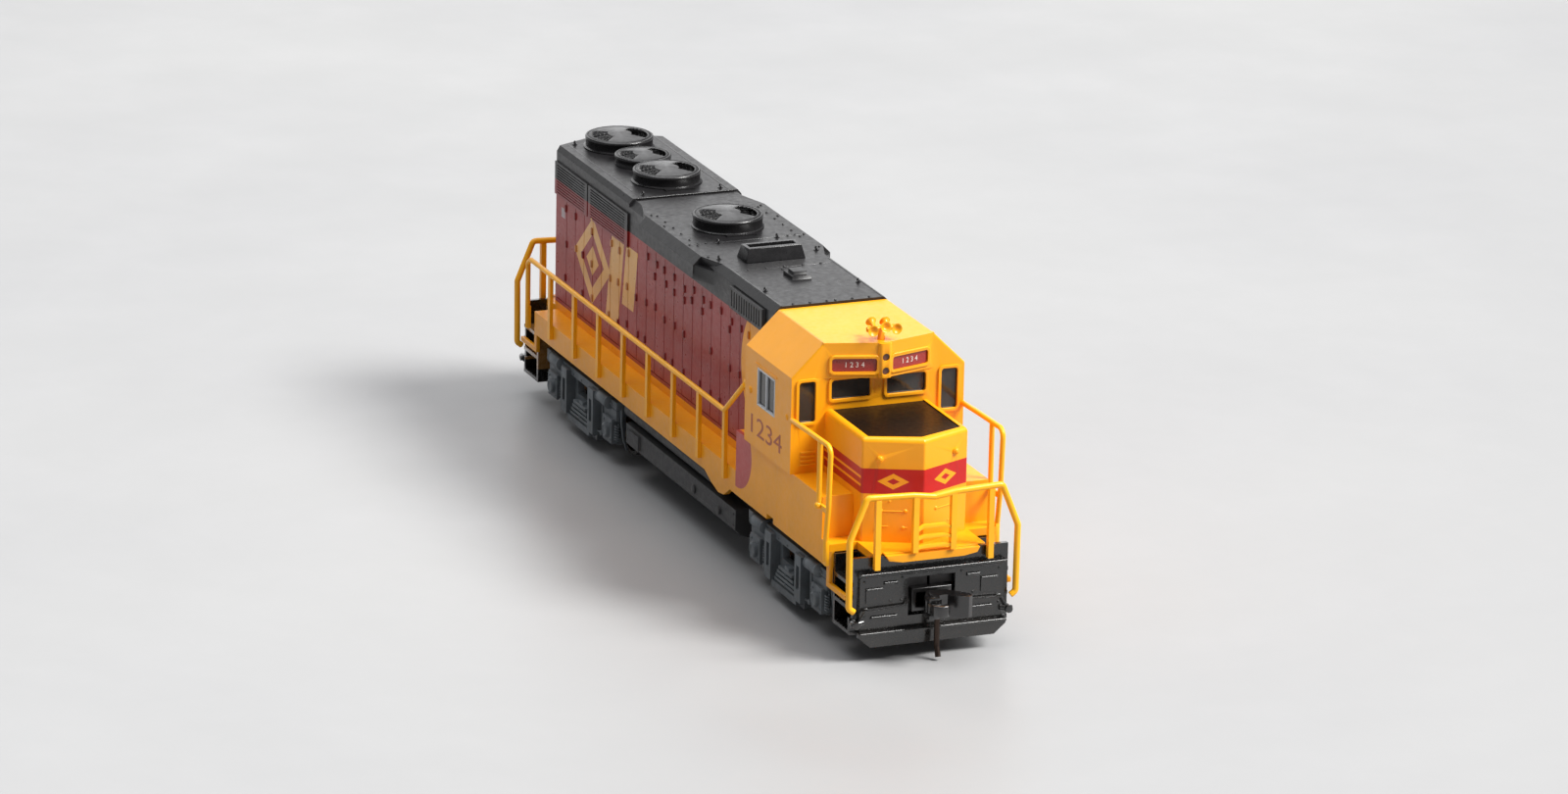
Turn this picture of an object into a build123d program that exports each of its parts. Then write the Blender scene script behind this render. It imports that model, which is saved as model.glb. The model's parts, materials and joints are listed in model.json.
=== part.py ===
from build123d import *
import os
from math import acos, atan2, cos, degrees, pi, radians, sin, sqrt, tan

# Model of a four-axle, low-nose diesel road switcher at 1:160.
# +X is forward, +Y is the left-hand side, z = 0 is the underside of the wheel flanges.

os.makedirs("parts", exist_ok=True)

# ---- driving dimensions (mm) ----
TREAD_RADIUS = 3.175            # 40 inch wheel
FLANGE_DEPTH = 0.6
AXLE_Z = TREAD_RADIUS + FLANGE_DEPTH
TRUCK_X = 30.5                  # truck centres
AXLE_OFFSET = 8.57              # half the 9 ft wheelbase
MOTOR_Z = 14.6                  # drive line height

DECK_Z = 11.2                   # top of the walkway
DECK_THICK = 0.8
SILL_Z = 8.6
SILL_Y = 9.3
SILL_THICK = 0.6
OPENING_Y = 5.25                # half-width of the opening in the deck
PILOT_X = 48.0                  # inner face of the pilot plates
STEP_X = 43.6                   # inboard end of the step wells
STEP_Y = 6.2                    # inner side of the step wells

WALL = 0.6
HOOD_TOP = 29.85
RADIATOR_TOP = 30.0             # roof over the radiators, a small step above the rest
CAB_TOP = 29.6
HOOD_Y = 6.6
HOOD_REAR = -44.3               # where the sides end and the tapered rear corners start
HOOD_END = -46.4
HOOD_END_Y = 2.2                # half-width of the flat between those corners
RADIATOR_FRONT = -21.7
RADIATOR_Y = 6.8
RADIATOR_SEAM = -34.0           # between the two banks of shutters
SHUTTER_BOTTOM = 24.6
SHUTTER_TOP = 28.35
SLAT_PITCH = 0.31
DOOR_PITCH = 2.75
DOOR_COUNT = 23
DOOR_BOTTOM = 12.6
BLISTER_Y = 7.9                 # dynamic-brake blister
INTAKE_Y = 6.95                 # air intakes behind the cab
FRONT_LAMPS = (26.55, 28.05)    # heights of the twin headlights
REAR_LAMPS = (25.95, 27.45)
CAB_REAR = 20.7
CAB_FRONT = 33.5
CAB_Y = 9.7
CAB_EAVE = 26.1
CAB_ROOF_Y = 6.1
BOX_REAR = 17.5                 # battery boxes under and beside the cab
BOX_FRONT = 41.5
BOX_TOP = 15.7
NOSE_Y = 5.9
NOSE_TOP = 22.4
NOSE_CORNER = 43.6
NOSE_TIP = 46.2

FRAME_Y = 5.1
FRAME_BOTTOM = 8.3
FRAME_GAP = 0.15                # half the gap between the frame halves
SWIVEL_RADIUS = 4.6
SWIVEL_BORE = 4.66

RAIL_Y = 9.6
RAIL_Z = 17.1
RAIL_RADIUS = 0.28
POST_PITCH = 7.54
FIRST_POST = -38.0
SIDE_POSTS = 8

COUPLER_PIVOT = 45.6
KNUCKLE_PIVOT = (51.7, -1.05)
PIN_X = 50.45

MODULE = 0.3
PRESSURE = radians(20)
TOOTH_SHARE = 0.42              # tooth thickness over pitch, which leaves backlash
WORM_GEAR_TEETH = 20
IDLER_TEETH = 19
AXLE_GEAR_TEETH = 14
WORM_RADIUS = 1.6
WORM_MESH_GAP = 0.06


# ---- helpers: each adds to, or cuts from, the part being built ----
def block(x, y, z, mode=Mode.ADD):
    """A box between two corners, each axis given as (low, high)."""
    with Locations(((x[0] + x[1]) / 2, (y[0] + y[1]) / 2, (z[0] + z[1]) / 2)):
        Box(x[1] - x[0], y[1] - y[0], z[1] - z[0], mode=mode)


def prism_x(points, x, mode=Mode.ADD):
    """A (y, z) outline extruded along X from x[0] to x[1]."""
    with BuildSketch(Plane.YZ.offset(x[0])) as outline:
        Polygon(*points, align=None)
    extrude(outline.sketch, amount=x[1] - x[0], mode=mode)


def prism_y(points, y, mode=Mode.ADD):
    """An (x, z) outline extruded along Y from y[0] to y[1]."""
    with BuildSketch(Plane.XZ.offset(-y[1])) as outline:
        Polygon(*points, align=None)
    extrude(outline.sketch, amount=y[1] - y[0], mode=mode)


def prism_z(points, z, mode=Mode.ADD):
    """An (x, y) outline extruded along Z from z[0] to z[1]."""
    with BuildSketch(Plane.XY.offset(z[0])) as outline:
        Polygon(*points, align=None)
    extrude(outline.sketch, amount=z[1] - z[0], mode=mode)


def rod(start, end, radius, mode=Mode.ADD, end_radius=None):
    """A round rod, or a cone if end_radius is given, between two points."""
    direction = Vector(*end) - Vector(*start)
    with BuildSketch(Plane(origin=start, z_dir=direction)) as near:
        Circle(radius)
    if end_radius is None:
        extrude(near.sketch, amount=direction.length, mode=mode)
    else:
        with BuildSketch(Plane(origin=end, z_dir=direction)) as far:
            Circle(end_radius)
        loft([near.sketch, far.sketch], mode=mode)


def wire(points, radius, bend=0.9):
    """A round wire along straight runs with bent corners."""
    with BuildLine() as route:
        if len(points) > 2:
            FilletPolyline(*points, radius=bend)
        else:
            Line(*points)
    path = route.wires()[0]
    with BuildSketch(Plane(origin=path @ 0, z_dir=path % 0)) as section:
        Circle(radius)
    sweep(section.sketch, path=path)


def beside(side, near, far):
    """The (low, high) range between two distances from the middle, on the side -1 or 1."""
    return sorted((side * near, side * far))


def mirrored(points):
    """The (y, z) outline completed by its mirror image in y = 0."""
    return points + [(-y, z) for y, z in reversed(points)]


def save(part, name):
    """Label a finished piece and write it."""
    part.label = name
    export_step(part, f"parts/{name}.step")


# ---- hood shell ----
def hood_section(half_width, flat, shoulder, top):
    """Outline of the hood, or of the space inside it."""
    return mirrored([(half_width, DECK_Z), (half_width, shoulder), (flat, top)])


with BuildPart() as hood_shell:
    prism_x(hood_section(HOOD_Y, 5.9, 29.1, HOOD_TOP), (RADIATOR_FRONT, CAB_REAR))
    prism_x(hood_section(HOOD_Y, 6.15, 29.45, RADIATOR_TOP), (HOOD_END, RADIATOR_FRONT))
    for side in (-1, 1):
        # tapered rear corners
        waste = [(HOOD_REAR, HOOD_Y), (HOOD_END, HOOD_END_Y), (HOOD_END - 1, HOOD_END_Y),
                 (HOOD_END - 1, HOOD_Y + 1), (HOOD_REAR, HOOD_Y + 1)]
        prism_z([(x, side * y) for x, y in waste], (DECK_Z - 1, RADIATOR_TOP + 1), Mode.SUBTRACT)
        # radiator sides stand proud of the doors, with shutters and a central seam
        outer = beside(side, HOOD_Y - 0.1, RADIATOR_Y)
        for ends in ((HOOD_REAR, RADIATOR_SEAM - 0.15), (RADIATOR_SEAM + 0.15, RADIATOR_FRONT)):
            block(ends, outer, (SHUTTER_BOTTOM, SHUTTER_TOP))
        # dynamic-brake blister with tapered ends
        blister = [(RADIATOR_FRONT, 5.4), (-16.0, 7.0), (0.9, 7.0), (4.2, 5.9), (RADIATOR_FRONT, 5.9)]
        prism_z([(x, side * y) for x, y in blister], (27.6, HOOD_TOP))
        flank = [(-17.6, 6.3), (-15.2, BLISTER_Y), (0.6, BLISTER_Y), (4.4, 6.3)]
        prism_z([(x, side * y) for x, y in flank], (27.4, 28.9))
        with BuildSketch(Plane.YZ.offset(-15.4)):
            Polygon((side * BLISTER_Y, 28.95), (side * 7.0, HOOD_TOP), (side * 6.0, HOOD_TOP),
                    (side * 6.0, 28.0), (side * BLISTER_Y, 28.0), align=None)
        extrude(amount=16.2)
        # central air intakes behind the cab
        block((9.0, 18.2), beside(side, 6.3, INTAKE_Y), (26.5, 28.9))
    # cavity
    ceiling = HOOD_TOP - WALL
    prism_x(hood_section(HOOD_Y - WALL, 5.3, 28.3, ceiling), (HOOD_REAR + WALL, CAB_REAR), Mode.SUBTRACT)
    block((HOOD_END + WALL, HOOD_REAR + 1), (-HOOD_END_Y, HOOD_END_Y), (DECK_Z, ceiling), Mode.SUBTRACT)
    for side in (-1, 1):
        # hood door seams
        for door in range(DOOR_COUNT):
            x = HOOD_REAR + 3.4 + DOOR_PITCH * door
            top = SHUTTER_BOTTOM - 0.2 if x < RADIATOR_FRONT else 26.2
            block((x - 0.06, x + 0.06), beside(side, HOOD_Y - 0.12, HOOD_Y + 0.1), (DOOR_BOTTOM, top),
                  Mode.SUBTRACT)
        block((HOOD_REAR + 0.5, CAB_REAR), beside(side, HOOD_Y - 0.1, HOOD_Y + 0.1),
              (DOOR_BOTTOM - 0.1, DOOR_BOTTOM + 0.02), Mode.SUBTRACT)
        # radiator shutter slats
        for bay in ((HOOD_REAR + 0.7, RADIATOR_SEAM - 0.9), (RADIATOR_SEAM + 0.9, RADIATOR_FRONT - 0.8)):
            for slat in range(11):
                z = SHUTTER_BOTTOM + 0.25 + SLAT_PITCH * slat
                block(bay, beside(side, RADIATOR_Y - 0.12, RADIATOR_Y + 0.1), (z, z + 0.13), Mode.SUBTRACT)
        # intake grille slats
        for slat in range(12):
            x = 9.5 + 0.7 * slat
            block((x, x + 0.3), beside(side, INTAKE_Y - 0.25, INTAKE_Y + 0.1), (26.8, 28.6), Mode.SUBTRACT)
    # stepped hatch
    block((9.6, 12.2), (-1.1, 1.1), (HOOD_TOP, HOOD_TOP + 0.4))
    block((10.1, 11.6), (-0.75, 0.75), (HOOD_TOP + 0.4, HOOD_TOP + 0.75))
    # rear end: door frame, headlight housing
    block((HOOD_END - 0.15, HOOD_END), (-1.9, 1.9), (12.4, 24.2))
    block((HOOD_END - 0.5, HOOD_END), (-1.0, 1.0), (25.2, 28.2))
    for z in REAR_LAMPS:
        rod((HOOD_END - 1, 0, z), (HOOD_END + WALL, 0, z), 0.4, Mode.SUBTRACT)
save(hood_shell.part, "hood_shell")

# ---- roof items ----
ON_TOP = (Align.CENTER, Align.CENTER, Align.MIN)
# centre x, height of the roof, radius at the foot and at the rim, height
FANS = {
    "radiator_fan_rear": (-42.1, RADIATOR_TOP, 4.0, 3.75, 1.35),
    "radiator_fan_middle": (-34.8, RADIATOR_TOP, 3.2, 3.1, 1.1),
    "radiator_fan_front": (-27.5, RADIATOR_TOP, 3.95, 3.7, 1.35),
    "brake_fan": (-9.2, HOOD_TOP, 3.8, 3.8, 1.45),
}
for name, (fan_x, roof, foot_radius, radius, height) in FANS.items():
    top = roof + height
    with BuildPart() as fan:
        rod((fan_x, 0, roof), (fan_x, 0, top), foot_radius, end_radius=radius)
        with Locations((fan_x, 0, roof + 0.35)):
            Cylinder(radius - 0.35, height, align=ON_TOP, mode=Mode.SUBTRACT)
        if name == "brake_fan":
            with Locations((fan_x, 0, roof)):
                Cylinder(radius + 0.15, 0.5, align=ON_TOP)
        # grille: rings and spokes round a domed cap
        with Locations((fan_x, 0, roof + 0.3)):
            Cylinder(radius * 0.42, height - 0.3, align=ON_TOP)
        with Locations((fan_x, 0, top - 0.25)):
            with PolarLocations(0, 16):
                Box(radius - 0.2, 0.16, 0.2, align=(Align.MIN, Align.CENTER, Align.MIN))
        for ring in (0.56, 0.72, 0.87):
            with BuildSketch(Plane.XY.offset(top - 0.25)):
                with Locations((fan_x, 0)):
                    Circle(radius * ring + 0.07)
                    Circle(radius * ring - 0.07, mode=Mode.SUBTRACT)
            extrude(amount=0.2)
    save(fan.part, name)

STACK_X = 3.45
with BuildPart() as exhaust_stack:
    with BuildSketch(Plane.XY.offset(HOOD_TOP)):
        with Locations((STACK_X, 0)):
            Rectangle(2.9, 6.8)
    with BuildSketch(Plane.XY.offset(HOOD_TOP + 1.5)):
        with Locations((STACK_X, 0)):
            Rectangle(2.1, 6.1)
    loft()
    slot_x = (STACK_X - 0.55, STACK_X + 0.55)
    block(slot_x, (-2.65, 2.65), (HOOD_TOP + 0.4, HOOD_TOP + 2), Mode.SUBTRACT)
    block(slot_x, (-0.12, 0.12), (HOOD_TOP + 0.4, HOOD_TOP + 1.2))
save(exhaust_stack.part, "exhaust_stack")

HORN_X = 33.9
HORN_Z = 30.75
with BuildPart() as horn:
    rod((HORN_X, 0, CAB_TOP), (HORN_X, 0, HORN_Z + 0.2), 0.28)
    block((HORN_X - 0.25, HORN_X + 0.25), (-1.55, 1.55), (HORN_Z - 0.2, HORN_Z + 0.15))
    # five chimes: three forward, two back
    chimes = ((-1.35, 1.15, 0.15), (0.0, 1.35, 0.55), (1.35, 1.0, 0.1), (-0.7, -1.2, 0.55), (0.75, -1.0, 0.5))
    for y, reach, rise in chimes:
        rod((HORN_X, y, HORN_Z), (HORN_X + reach, y, HORN_Z + rise), 0.17, end_radius=0.42)
save(horn.part, "horn")

# ---- cab shell ----
CENTRE_WINDOW = (3.1, 4.4, 24.45, 2.1)      # centre y, width, centre z, height
CORNER_WINDOW = (7.97, 1.85, 23.4, 4.4)
FRONT_WINDOWS = [(side * y, w, z, h) for side in (-1, 1) for y, w, z, h in (CENTRE_WINDOW, CORNER_WINDOW)]
SIDE_WINDOW = (26.55, 4.9, 22.55, 4.1)      # centre x, length, centre z, height
VISOR_Z = 25.8
VISOR_TIP = 35.3
VISOR_Y = 6.2


def visor_plane(side):
    """The plane of one number board, its local x running outward from the centre."""
    middle = ((VISOR_TIP + CAB_FRONT) / 2, side * VISOR_Y / 2, 27.2)
    outward = Vector(VISOR_Y, side * (VISOR_TIP - CAB_FRONT), 0)
    return Plane(origin=middle, x_dir=Vector(-side * outward.Y, side * outward.X, 0), z_dir=outward)


with BuildPart() as cab_shell:
    cab_outline = mirrored([(CAB_Y, BOX_TOP), (CAB_Y, CAB_EAVE), (CAB_ROOF_Y, CAB_TOP)])
    prism_x(cab_outline, (CAB_REAR, CAB_FRONT))
    fillet(cab_shell.edges().filter_by(Axis.X).group_by(Axis.Z)[-1], 0.35)
    fillet(cab_shell.faces().filter_by(Axis.X).edges().group_by(Axis.Z)[-1], 0.2)
    prism_z([(CAB_FRONT - 0.5, -VISOR_Y), (CAB_FRONT, -VISOR_Y), (VISOR_TIP, 0), (CAB_FRONT, VISOR_Y),
             (CAB_FRONT - 0.5, VISOR_Y)], (VISOR_Z, CAB_TOP))
    # headlight column at the visor's tip
    with BuildSketch(Plane.XY.offset(VISOR_Z)):
        with Locations((VISOR_TIP - 0.45, 0)):
            RectangleRounded(1.3, 1.5, 0.5)
    extrude(amount=CAB_TOP - VISOR_Z - 0.05)
    inner = mirrored([(CAB_Y - WALL, BOX_TOP), (CAB_Y - WALL, CAB_EAVE - 0.25),
                      (CAB_ROOF_Y - 0.25, CAB_TOP - WALL)])
    prism_x(inner, (CAB_REAR + WALL, CAB_FRONT - WALL), Mode.SUBTRACT)
    for y, width, z, height in FRONT_WINDOWS:
        frame_plane = Plane(origin=(CAB_FRONT - 0.1, y, z), x_dir=(0, 1, 0), z_dir=(1, 0, 0))
        with BuildSketch(frame_plane):
            RectangleRounded(width + 0.6, height + 0.6, 0.5)
        extrude(amount=0.3)
        with BuildSketch(frame_plane.offset(-1)):
            RectangleRounded(width, height, 0.35)
        extrude(amount=1.5, mode=Mode.SUBTRACT)
    for side in (-1, 1):
        x, length, z, height = SIDE_WINDOW
        block((x - length / 2, x + length / 2), beside(side, 8.5, 10.2),
              (z - height / 2, z + height / 2), Mode.SUBTRACT)
        with BuildSketch(visor_plane(side)):
            RectangleRounded(5.3, 2.0, 0.45)
        extrude(amount=0.16)
        with BuildSketch(visor_plane(side).offset(0.3)):
            RectangleRounded(4.7, 1.45, 0.3)
        extrude(amount=-0.55, mode=Mode.SUBTRACT)
        # louvres low on the front, beside the nose
        for louvre in range(4):
            z = 16.5 + 0.45 * louvre
            block((CAB_FRONT - 0.1, CAB_FRONT + 0.12), beside(side, 6.9, 8.6), (z, z + 0.2))
    for z in FRONT_LAMPS:
        rod((CAB_FRONT - 1, 0, z), (VISOR_TIP + 1, 0, z), 0.4, Mode.SUBTRACT)
    block((CAB_REAR - 1, CAB_FRONT + 0.3), (-5.3, 5.3), (BOX_TOP - 1, 18.3), Mode.SUBTRACT)
    block((CAB_REAR - 1, CAB_REAR + 1), (-5.3, 5.3), (18.2, 27.5), Mode.SUBTRACT)
save(cab_shell.part, "cab_shell")

with BuildPart() as number_boards:
    for side in (-1, 1):
        with BuildSketch(visor_plane(side).offset(-0.23)):
            RectangleRounded(4.66, 1.41, 0.28)
        extrude(amount=0.2)
save(number_boards.part, "number_boards")

with BuildPart() as headlight_lenses:
    for z in FRONT_LAMPS:
        rod((CAB_FRONT, 0, z), (VISOR_TIP + 0.05, 0, z), 0.38)
    for z in REAR_LAMPS:
        rod((HOOD_END + 0.2, 0, z), (HOOD_END - 0.3, 0, z), 0.38)
save(headlight_lenses.part, "headlight_lenses")

GLASS_X = CAB_FRONT - WALL - 0.32
GLASS_Y = CAB_Y - WALL - 0.05
with BuildPart() as cab_glazing:
    block((GLASS_X, GLASS_X + 0.3), (-GLASS_Y, GLASS_Y), (21.0, 25.8))
    for side in (-1, 1):
        block((23.4, GLASS_X + 0.3), beside(side, GLASS_Y - 0.3, GLASS_Y), (20.3, 25.0))
        x, length, z, height = SIDE_WINDOW
        block((x - length / 2 + 0.02, x + length / 2 - 0.02), beside(side, GLASS_Y, CAB_Y - 0.2),
              (z - height / 2 + 0.02, z + height / 2 - 0.02))
    for y, width, z, height in FRONT_WINDOWS:
        with BuildSketch(Plane(origin=(GLASS_X + 0.3, y, z), x_dir=(0, 1, 0), z_dir=(1, 0, 0))):
            RectangleRounded(width - 0.04, height - 0.04, 0.33)
        extrude(amount=0.5)
save(cab_glazing.part, "cab_glazing")

# ---- short hood ----
nose_outline = [(CAB_FRONT, -NOSE_Y), (NOSE_CORNER, -NOSE_Y), (NOSE_TIP, 0), (NOSE_CORNER, NOSE_Y),
                (CAB_FRONT, NOSE_Y)]
with BuildPart() as short_hood:
    prism_z(nose_outline, (DECK_Z, NOSE_TOP))
    fillet(short_hood.edges().filter_by(Axis.Z).group_by(Axis.X)[1:], 0.35)
    rim = short_hood.faces().sort_by(Axis.Z)[-1].edges()
    fillet(rim.filter_by(lambda edge: edge.center().X > CAB_FRONT + 0.1), 0.55)
    inset = 0.75
    prism_z([(CAB_FRONT, -NOSE_Y + inset), (NOSE_CORNER - 0.25, -NOSE_Y + inset), (NOSE_TIP - 0.9, 0),
             (NOSE_CORNER - 0.25, NOSE_Y - inset), (CAB_FRONT, NOSE_Y - inset)],
            (NOSE_TOP - 0.12, NOSE_TOP + 1), Mode.SUBTRACT)
    prism_z([(CAB_FRONT - 1, -NOSE_Y + WALL), (NOSE_CORNER - 0.3, -NOSE_Y + WALL),
             (NOSE_TIP - WALL - 0.15, 0), (NOSE_CORNER - 0.3, NOSE_Y - WALL), (CAB_FRONT - 1, NOSE_Y - WALL)],
            (DECK_Z - 1, NOSE_TOP - 0.7), Mode.SUBTRACT)
    # two round bosses on the sloping front faces
    nose_slope = (NOSE_TIP - NOSE_CORNER) / NOSE_Y
    boss_y = 4.2
    for side in (-1, 1):
        x = NOSE_TIP - nose_slope * boss_y + 0.02
        rod((x - 0.4, side * boss_y, 20.2), (x + 0.28, side * boss_y, 20.2), 0.32)
save(short_hood.part, "short_hood")

# ---- walkway: deck, side sills, battery boxes and step frames ----
with BuildPart() as walkway:
    block((-PILOT_X, PILOT_X), (-SILL_Y, SILL_Y), (DECK_Z - DECK_THICK, DECK_Z))
    for side in (-1, 1):
        for end in (-1, 1):
            block(beside(end, STEP_X + 0.02, PILOT_X + 1), beside(side, STEP_Y, 12),
                  (DECK_Z - 1, DECK_Z + 1), Mode.SUBTRACT)
    block((HOOD_REAR + 1.0, BOX_FRONT - 1.0), (-OPENING_Y, OPENING_Y), (DECK_Z - 1, DECK_Z + 1),
          Mode.SUBTRACT)
    for side in (-1, 1):
        face = beside(side, SILL_Y - SILL_THICK, SILL_Y)
        block((-STEP_X, STEP_X), face, (SILL_Z, DECK_Z))
        # fishbelly bracket below the sill
        prism_y([(8.6, SILL_Z), (15.9, SILL_Z), (14.2, 7.5), (12.6, 7.3), (10.6, 7.8)], face)
        # battery box
        block((BOX_REAR, BOX_FRONT), face, (SILL_Z, BOX_TOP))
        block((BOX_REAR, CAB_REAR), beside(side, HOOD_Y + 0.01, SILL_Y), (BOX_TOP - 0.6, BOX_TOP))
        block((CAB_REAR, BOX_FRONT), beside(side, NOSE_Y + 0.01, SILL_Y), (BOX_TOP - 0.6, BOX_TOP))
        block((BOX_REAR, BOX_REAR + 0.6), beside(side, HOOD_Y + 0.01, SILL_Y), (DECK_Z, BOX_TOP))
        block((BOX_FRONT - 0.6, BOX_FRONT), beside(side, NOSE_Y + 0.01, SILL_Y), (DECK_Z - 0.5, BOX_TOP))
        block((26.4, 28.2), beside(side, 8, 10), (SILL_Z - 1, SILL_Z + 0.6), Mode.SUBTRACT)
        # step frames: upright with a foot bar
        for end in (-1, 1):
            rail = beside(side, SILL_Y - 0.45, SILL_Y)
            block(beside(end, STEP_X - 0.65, STEP_X + 0.02), rail, (7.0, SILL_Z + 0.1))
            block(beside(end, STEP_X - 0.65, PILOT_X - 0.1), rail, (6.55, 7.05))
    # end steps above the pilots
    for end in (-1, 1):
        outline = mirrored([(5.2, DECK_Z), (4.9, DECK_Z - 0.55), (3.4, DECK_Z - 0.8)])
        prism_x(outline, beside(end, PILOT_X + 0.52, PILOT_X + 1.1))
        block(beside(end, PILOT_X - 0.1, PILOT_X + 0.6), (-5.2, 5.2), (DECK_Z - 0.05, DECK_Z + 0.12))
save(walkway.part, "walkway")

# ---- pilots, with step wells ----
for name, end in (("front_pilot", 1), ("rear_pilot", -1)):
    with BuildPart() as pilot:
        block(beside(end, PILOT_X, PILOT_X + 0.5), (-8.6, 8.6), (4.2, DECK_Z - 0.1))
        block(beside(end, PILOT_X + 0.5, PILOT_X + 0.85), (-8.0, 8.0), (3.7, 9.2))
        block(beside(end, PILOT_X + 0.5, PILOT_X + 1.35), (-8.15, 8.15), (9.3, 9.55))
        block(beside(end, PILOT_X + 0.5, PILOT_X + 0.9), (-8.15, 8.15), (9.1, 9.35))
        # footboard with chamfered ends
        outline = mirrored([(8.2, 3.1), (8.2, 2.7), (6.9, 1.6)])
        prism_x(outline, beside(end, PILOT_X + 0.7, PILOT_X + 1.3))
        block(beside(end, PILOT_X + 0.2, PILOT_X + 1.5), (-8.2, 8.2), (2.95, 3.2))
        block(beside(end, PILOT_X, PILOT_X + 0.85), (-7.9, 7.9), (3.1, 4.4))
        for side in (-1, 1):
            # step well: inboard wall, inner side, treads
            outer = beside(side, STEP_Y - 0.3, 8.8)
            block(beside(end, STEP_X + 0.03, STEP_X + 0.5), outer, (2.8, DECK_Z - 0.9))
            block(beside(end, STEP_X + 0.03, PILOT_X + 0.2), beside(side, STEP_Y - 0.3, STEP_Y + 0.1),
                  (2.8, DECK_Z - 0.82))
            for tread in (2.8, 5.4, 8.0):
                block(beside(end, STEP_X + 0.03, PILOT_X + 0.2), outer, (tread, tread + 0.4))
            block(beside(end, PILOT_X - 0.3, PILOT_X + 0.1), outer, (2.8, 4.6))
            # shallow raised panels and ribs on the pilot face: centre y, width, centre z, height
            for y, width, z, height in ((4.6, 1.5, 8.2, 0.16), (5.3, 3.0, 4.6, 0.16), (6.4, 1.9, 7.0, 1.5),
                                        (7.4, 0.5, 5.6, 0.3)):
                block(beside(end, PILOT_X + 0.8, PILOT_X + 1.0),
                      beside(side, y - width / 2, y + width / 2), (z - height / 2, z + height / 2))
            # cut-lever brackets at the outer ends
            rod((end * (PILOT_X + 0.9), side * 7.6, 4.3), (end * (PILOT_X + 0.9), side * 9.0, 4.1), 0.28)
            rod((end * (PILOT_X + 0.5), side * 8.5, 4.15), (end * (PILOT_X + 1.5), side * 8.5, 4.15), 0.4)
        # coupler pocket
        block(beside(end, PILOT_X - 1, PILOT_X + 2), (-2.6, 2.6), (4.5, 8.6), Mode.SUBTRACT)
        block(beside(end, PILOT_X - 1, PILOT_X + 0.2), (-5.0, 5.0), (7.2, DECK_Z), Mode.SUBTRACT)
    save(pilot.part, name)

# ---- fuel tank with air reservoirs ----
with BuildPart() as fuel_tank:
    tank_section = mirrored([(7.0, 8.25), (7.0, 6.5), (8.7, 6.3), (8.7, 4.1), (8.0, 3.4), (5.6, 2.6)])
    prism_x(tank_section, (-16.2, 16.2))
    for side in (-1, 1):
        rod((-17.0, side * 7.75, 7.55), (12.0, side * 7.75, 7.55), 0.9)
        rod((11.6, side * 8.55, 4.9), (11.6, side * 8.95, 4.9), 0.45)
        block((-15.0, -12.0), beside(side, 8.6, 8.95), (4.3, 5.9))
save(fuel_tank.part, "fuel_tank")

# ---- handrails ----
for name, side in (("right_handrail", -1), ("left_handrail", 1)):
    y = side * RAIL_Y
    posts = [FIRST_POST + POST_PITCH * i for i in range(SIDE_POSTS)]
    with BuildPart() as rail:
        wire([(-45.0, y, 9.0), (-45.0, y, RAIL_Z - 0.6), (-44.1, y, RAIL_Z), (posts[-1], y, RAIL_Z),
              (20.35, y, 21.6)], RAIL_RADIUS, bend=0.4)
        block((20.25, CAB_REAR - 0.01), beside(side, RAIL_Y - 0.25, RAIL_Y + 0.1), (21.3, 22.1))
        for x in posts:
            block((x - 0.33, x + 0.33), beside(side, SILL_Y + 0.01, SILL_Y + 0.42), (9.6, RAIL_Z))
        block((-45.3, -44.7), beside(side, SILL_Y + 0.01, SILL_Y + 0.42), (8.9, 11.5))
    save(rail.part, name)

with BuildPart() as cab_handrails:
    for side in (-1, 1):
        y = side * RAIL_Y
        wire([(CAB_FRONT + 0.02, y, 21.6), (37.5, y, 21.75), (44.2, y, 21.9), (43.9, y, 15.5),
              (43.3, y, 11.5), (43.3, y, 9.4)], RAIL_RADIUS, bend=0.9)
        wire([(41.3, y, 21.75), (41.3, y, 14.6)], RAIL_RADIUS)
        with Locations((41.3, side * (SILL_Y + 0.43), 14.8)):
            Sphere(0.4)
        block((41.0, 43.6), beside(side, SILL_Y + 0.01, SILL_Y + 0.25), (14.4, 15.0))
        block((43.0, 43.6), beside(side, SILL_Y + 0.01, SILL_Y + 0.4), (8.9, 11.5))
save(cab_handrails.part, "cab_handrails")

END_RAIL_X = PILOT_X + 1.1
END_RAIL_RADIUS = 0.34
with BuildPart() as end_handrails:
    for end in (-1, 1):
        x = end * END_RAIL_X
        half = [(8.75, 5.6), (9.3, 6.0), (9.35, 13.2), (7.5, 17.7), (2.4, 17.5)]
        left_to_right = half + [(0, 17.15)] + [(-y, z) for y, z in reversed(half)]
        wire([(x, y, z) for y, z in left_to_right], END_RAIL_RADIUS, bend=0.5)
        for y, foot in ((-6.3, 9.9), (-2.1, 11.35), (2.1, 11.35), (6.3, 9.9)):
            block((x - 0.3, x + 0.3), (y - 0.3, y + 0.3), (foot, 17.4))
        # raised drop step: three arched slats
        for z, rise in ((11.6, 0.15), (12.5, 0.3), (13.4, 0.5)):
            slat = [(-2.1, z), (-1.2, z + rise), (1.2, z + rise), (2.1, z), (2.1, z + 0.35),
                    (1.2, z + rise + 0.35), (-1.2, z + rise + 0.35), (-2.1, z + 0.35)]
            prism_x(slat, (x - 0.2, x + 0.2))
save(end_handrails.part, "end_handrails")

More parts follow.
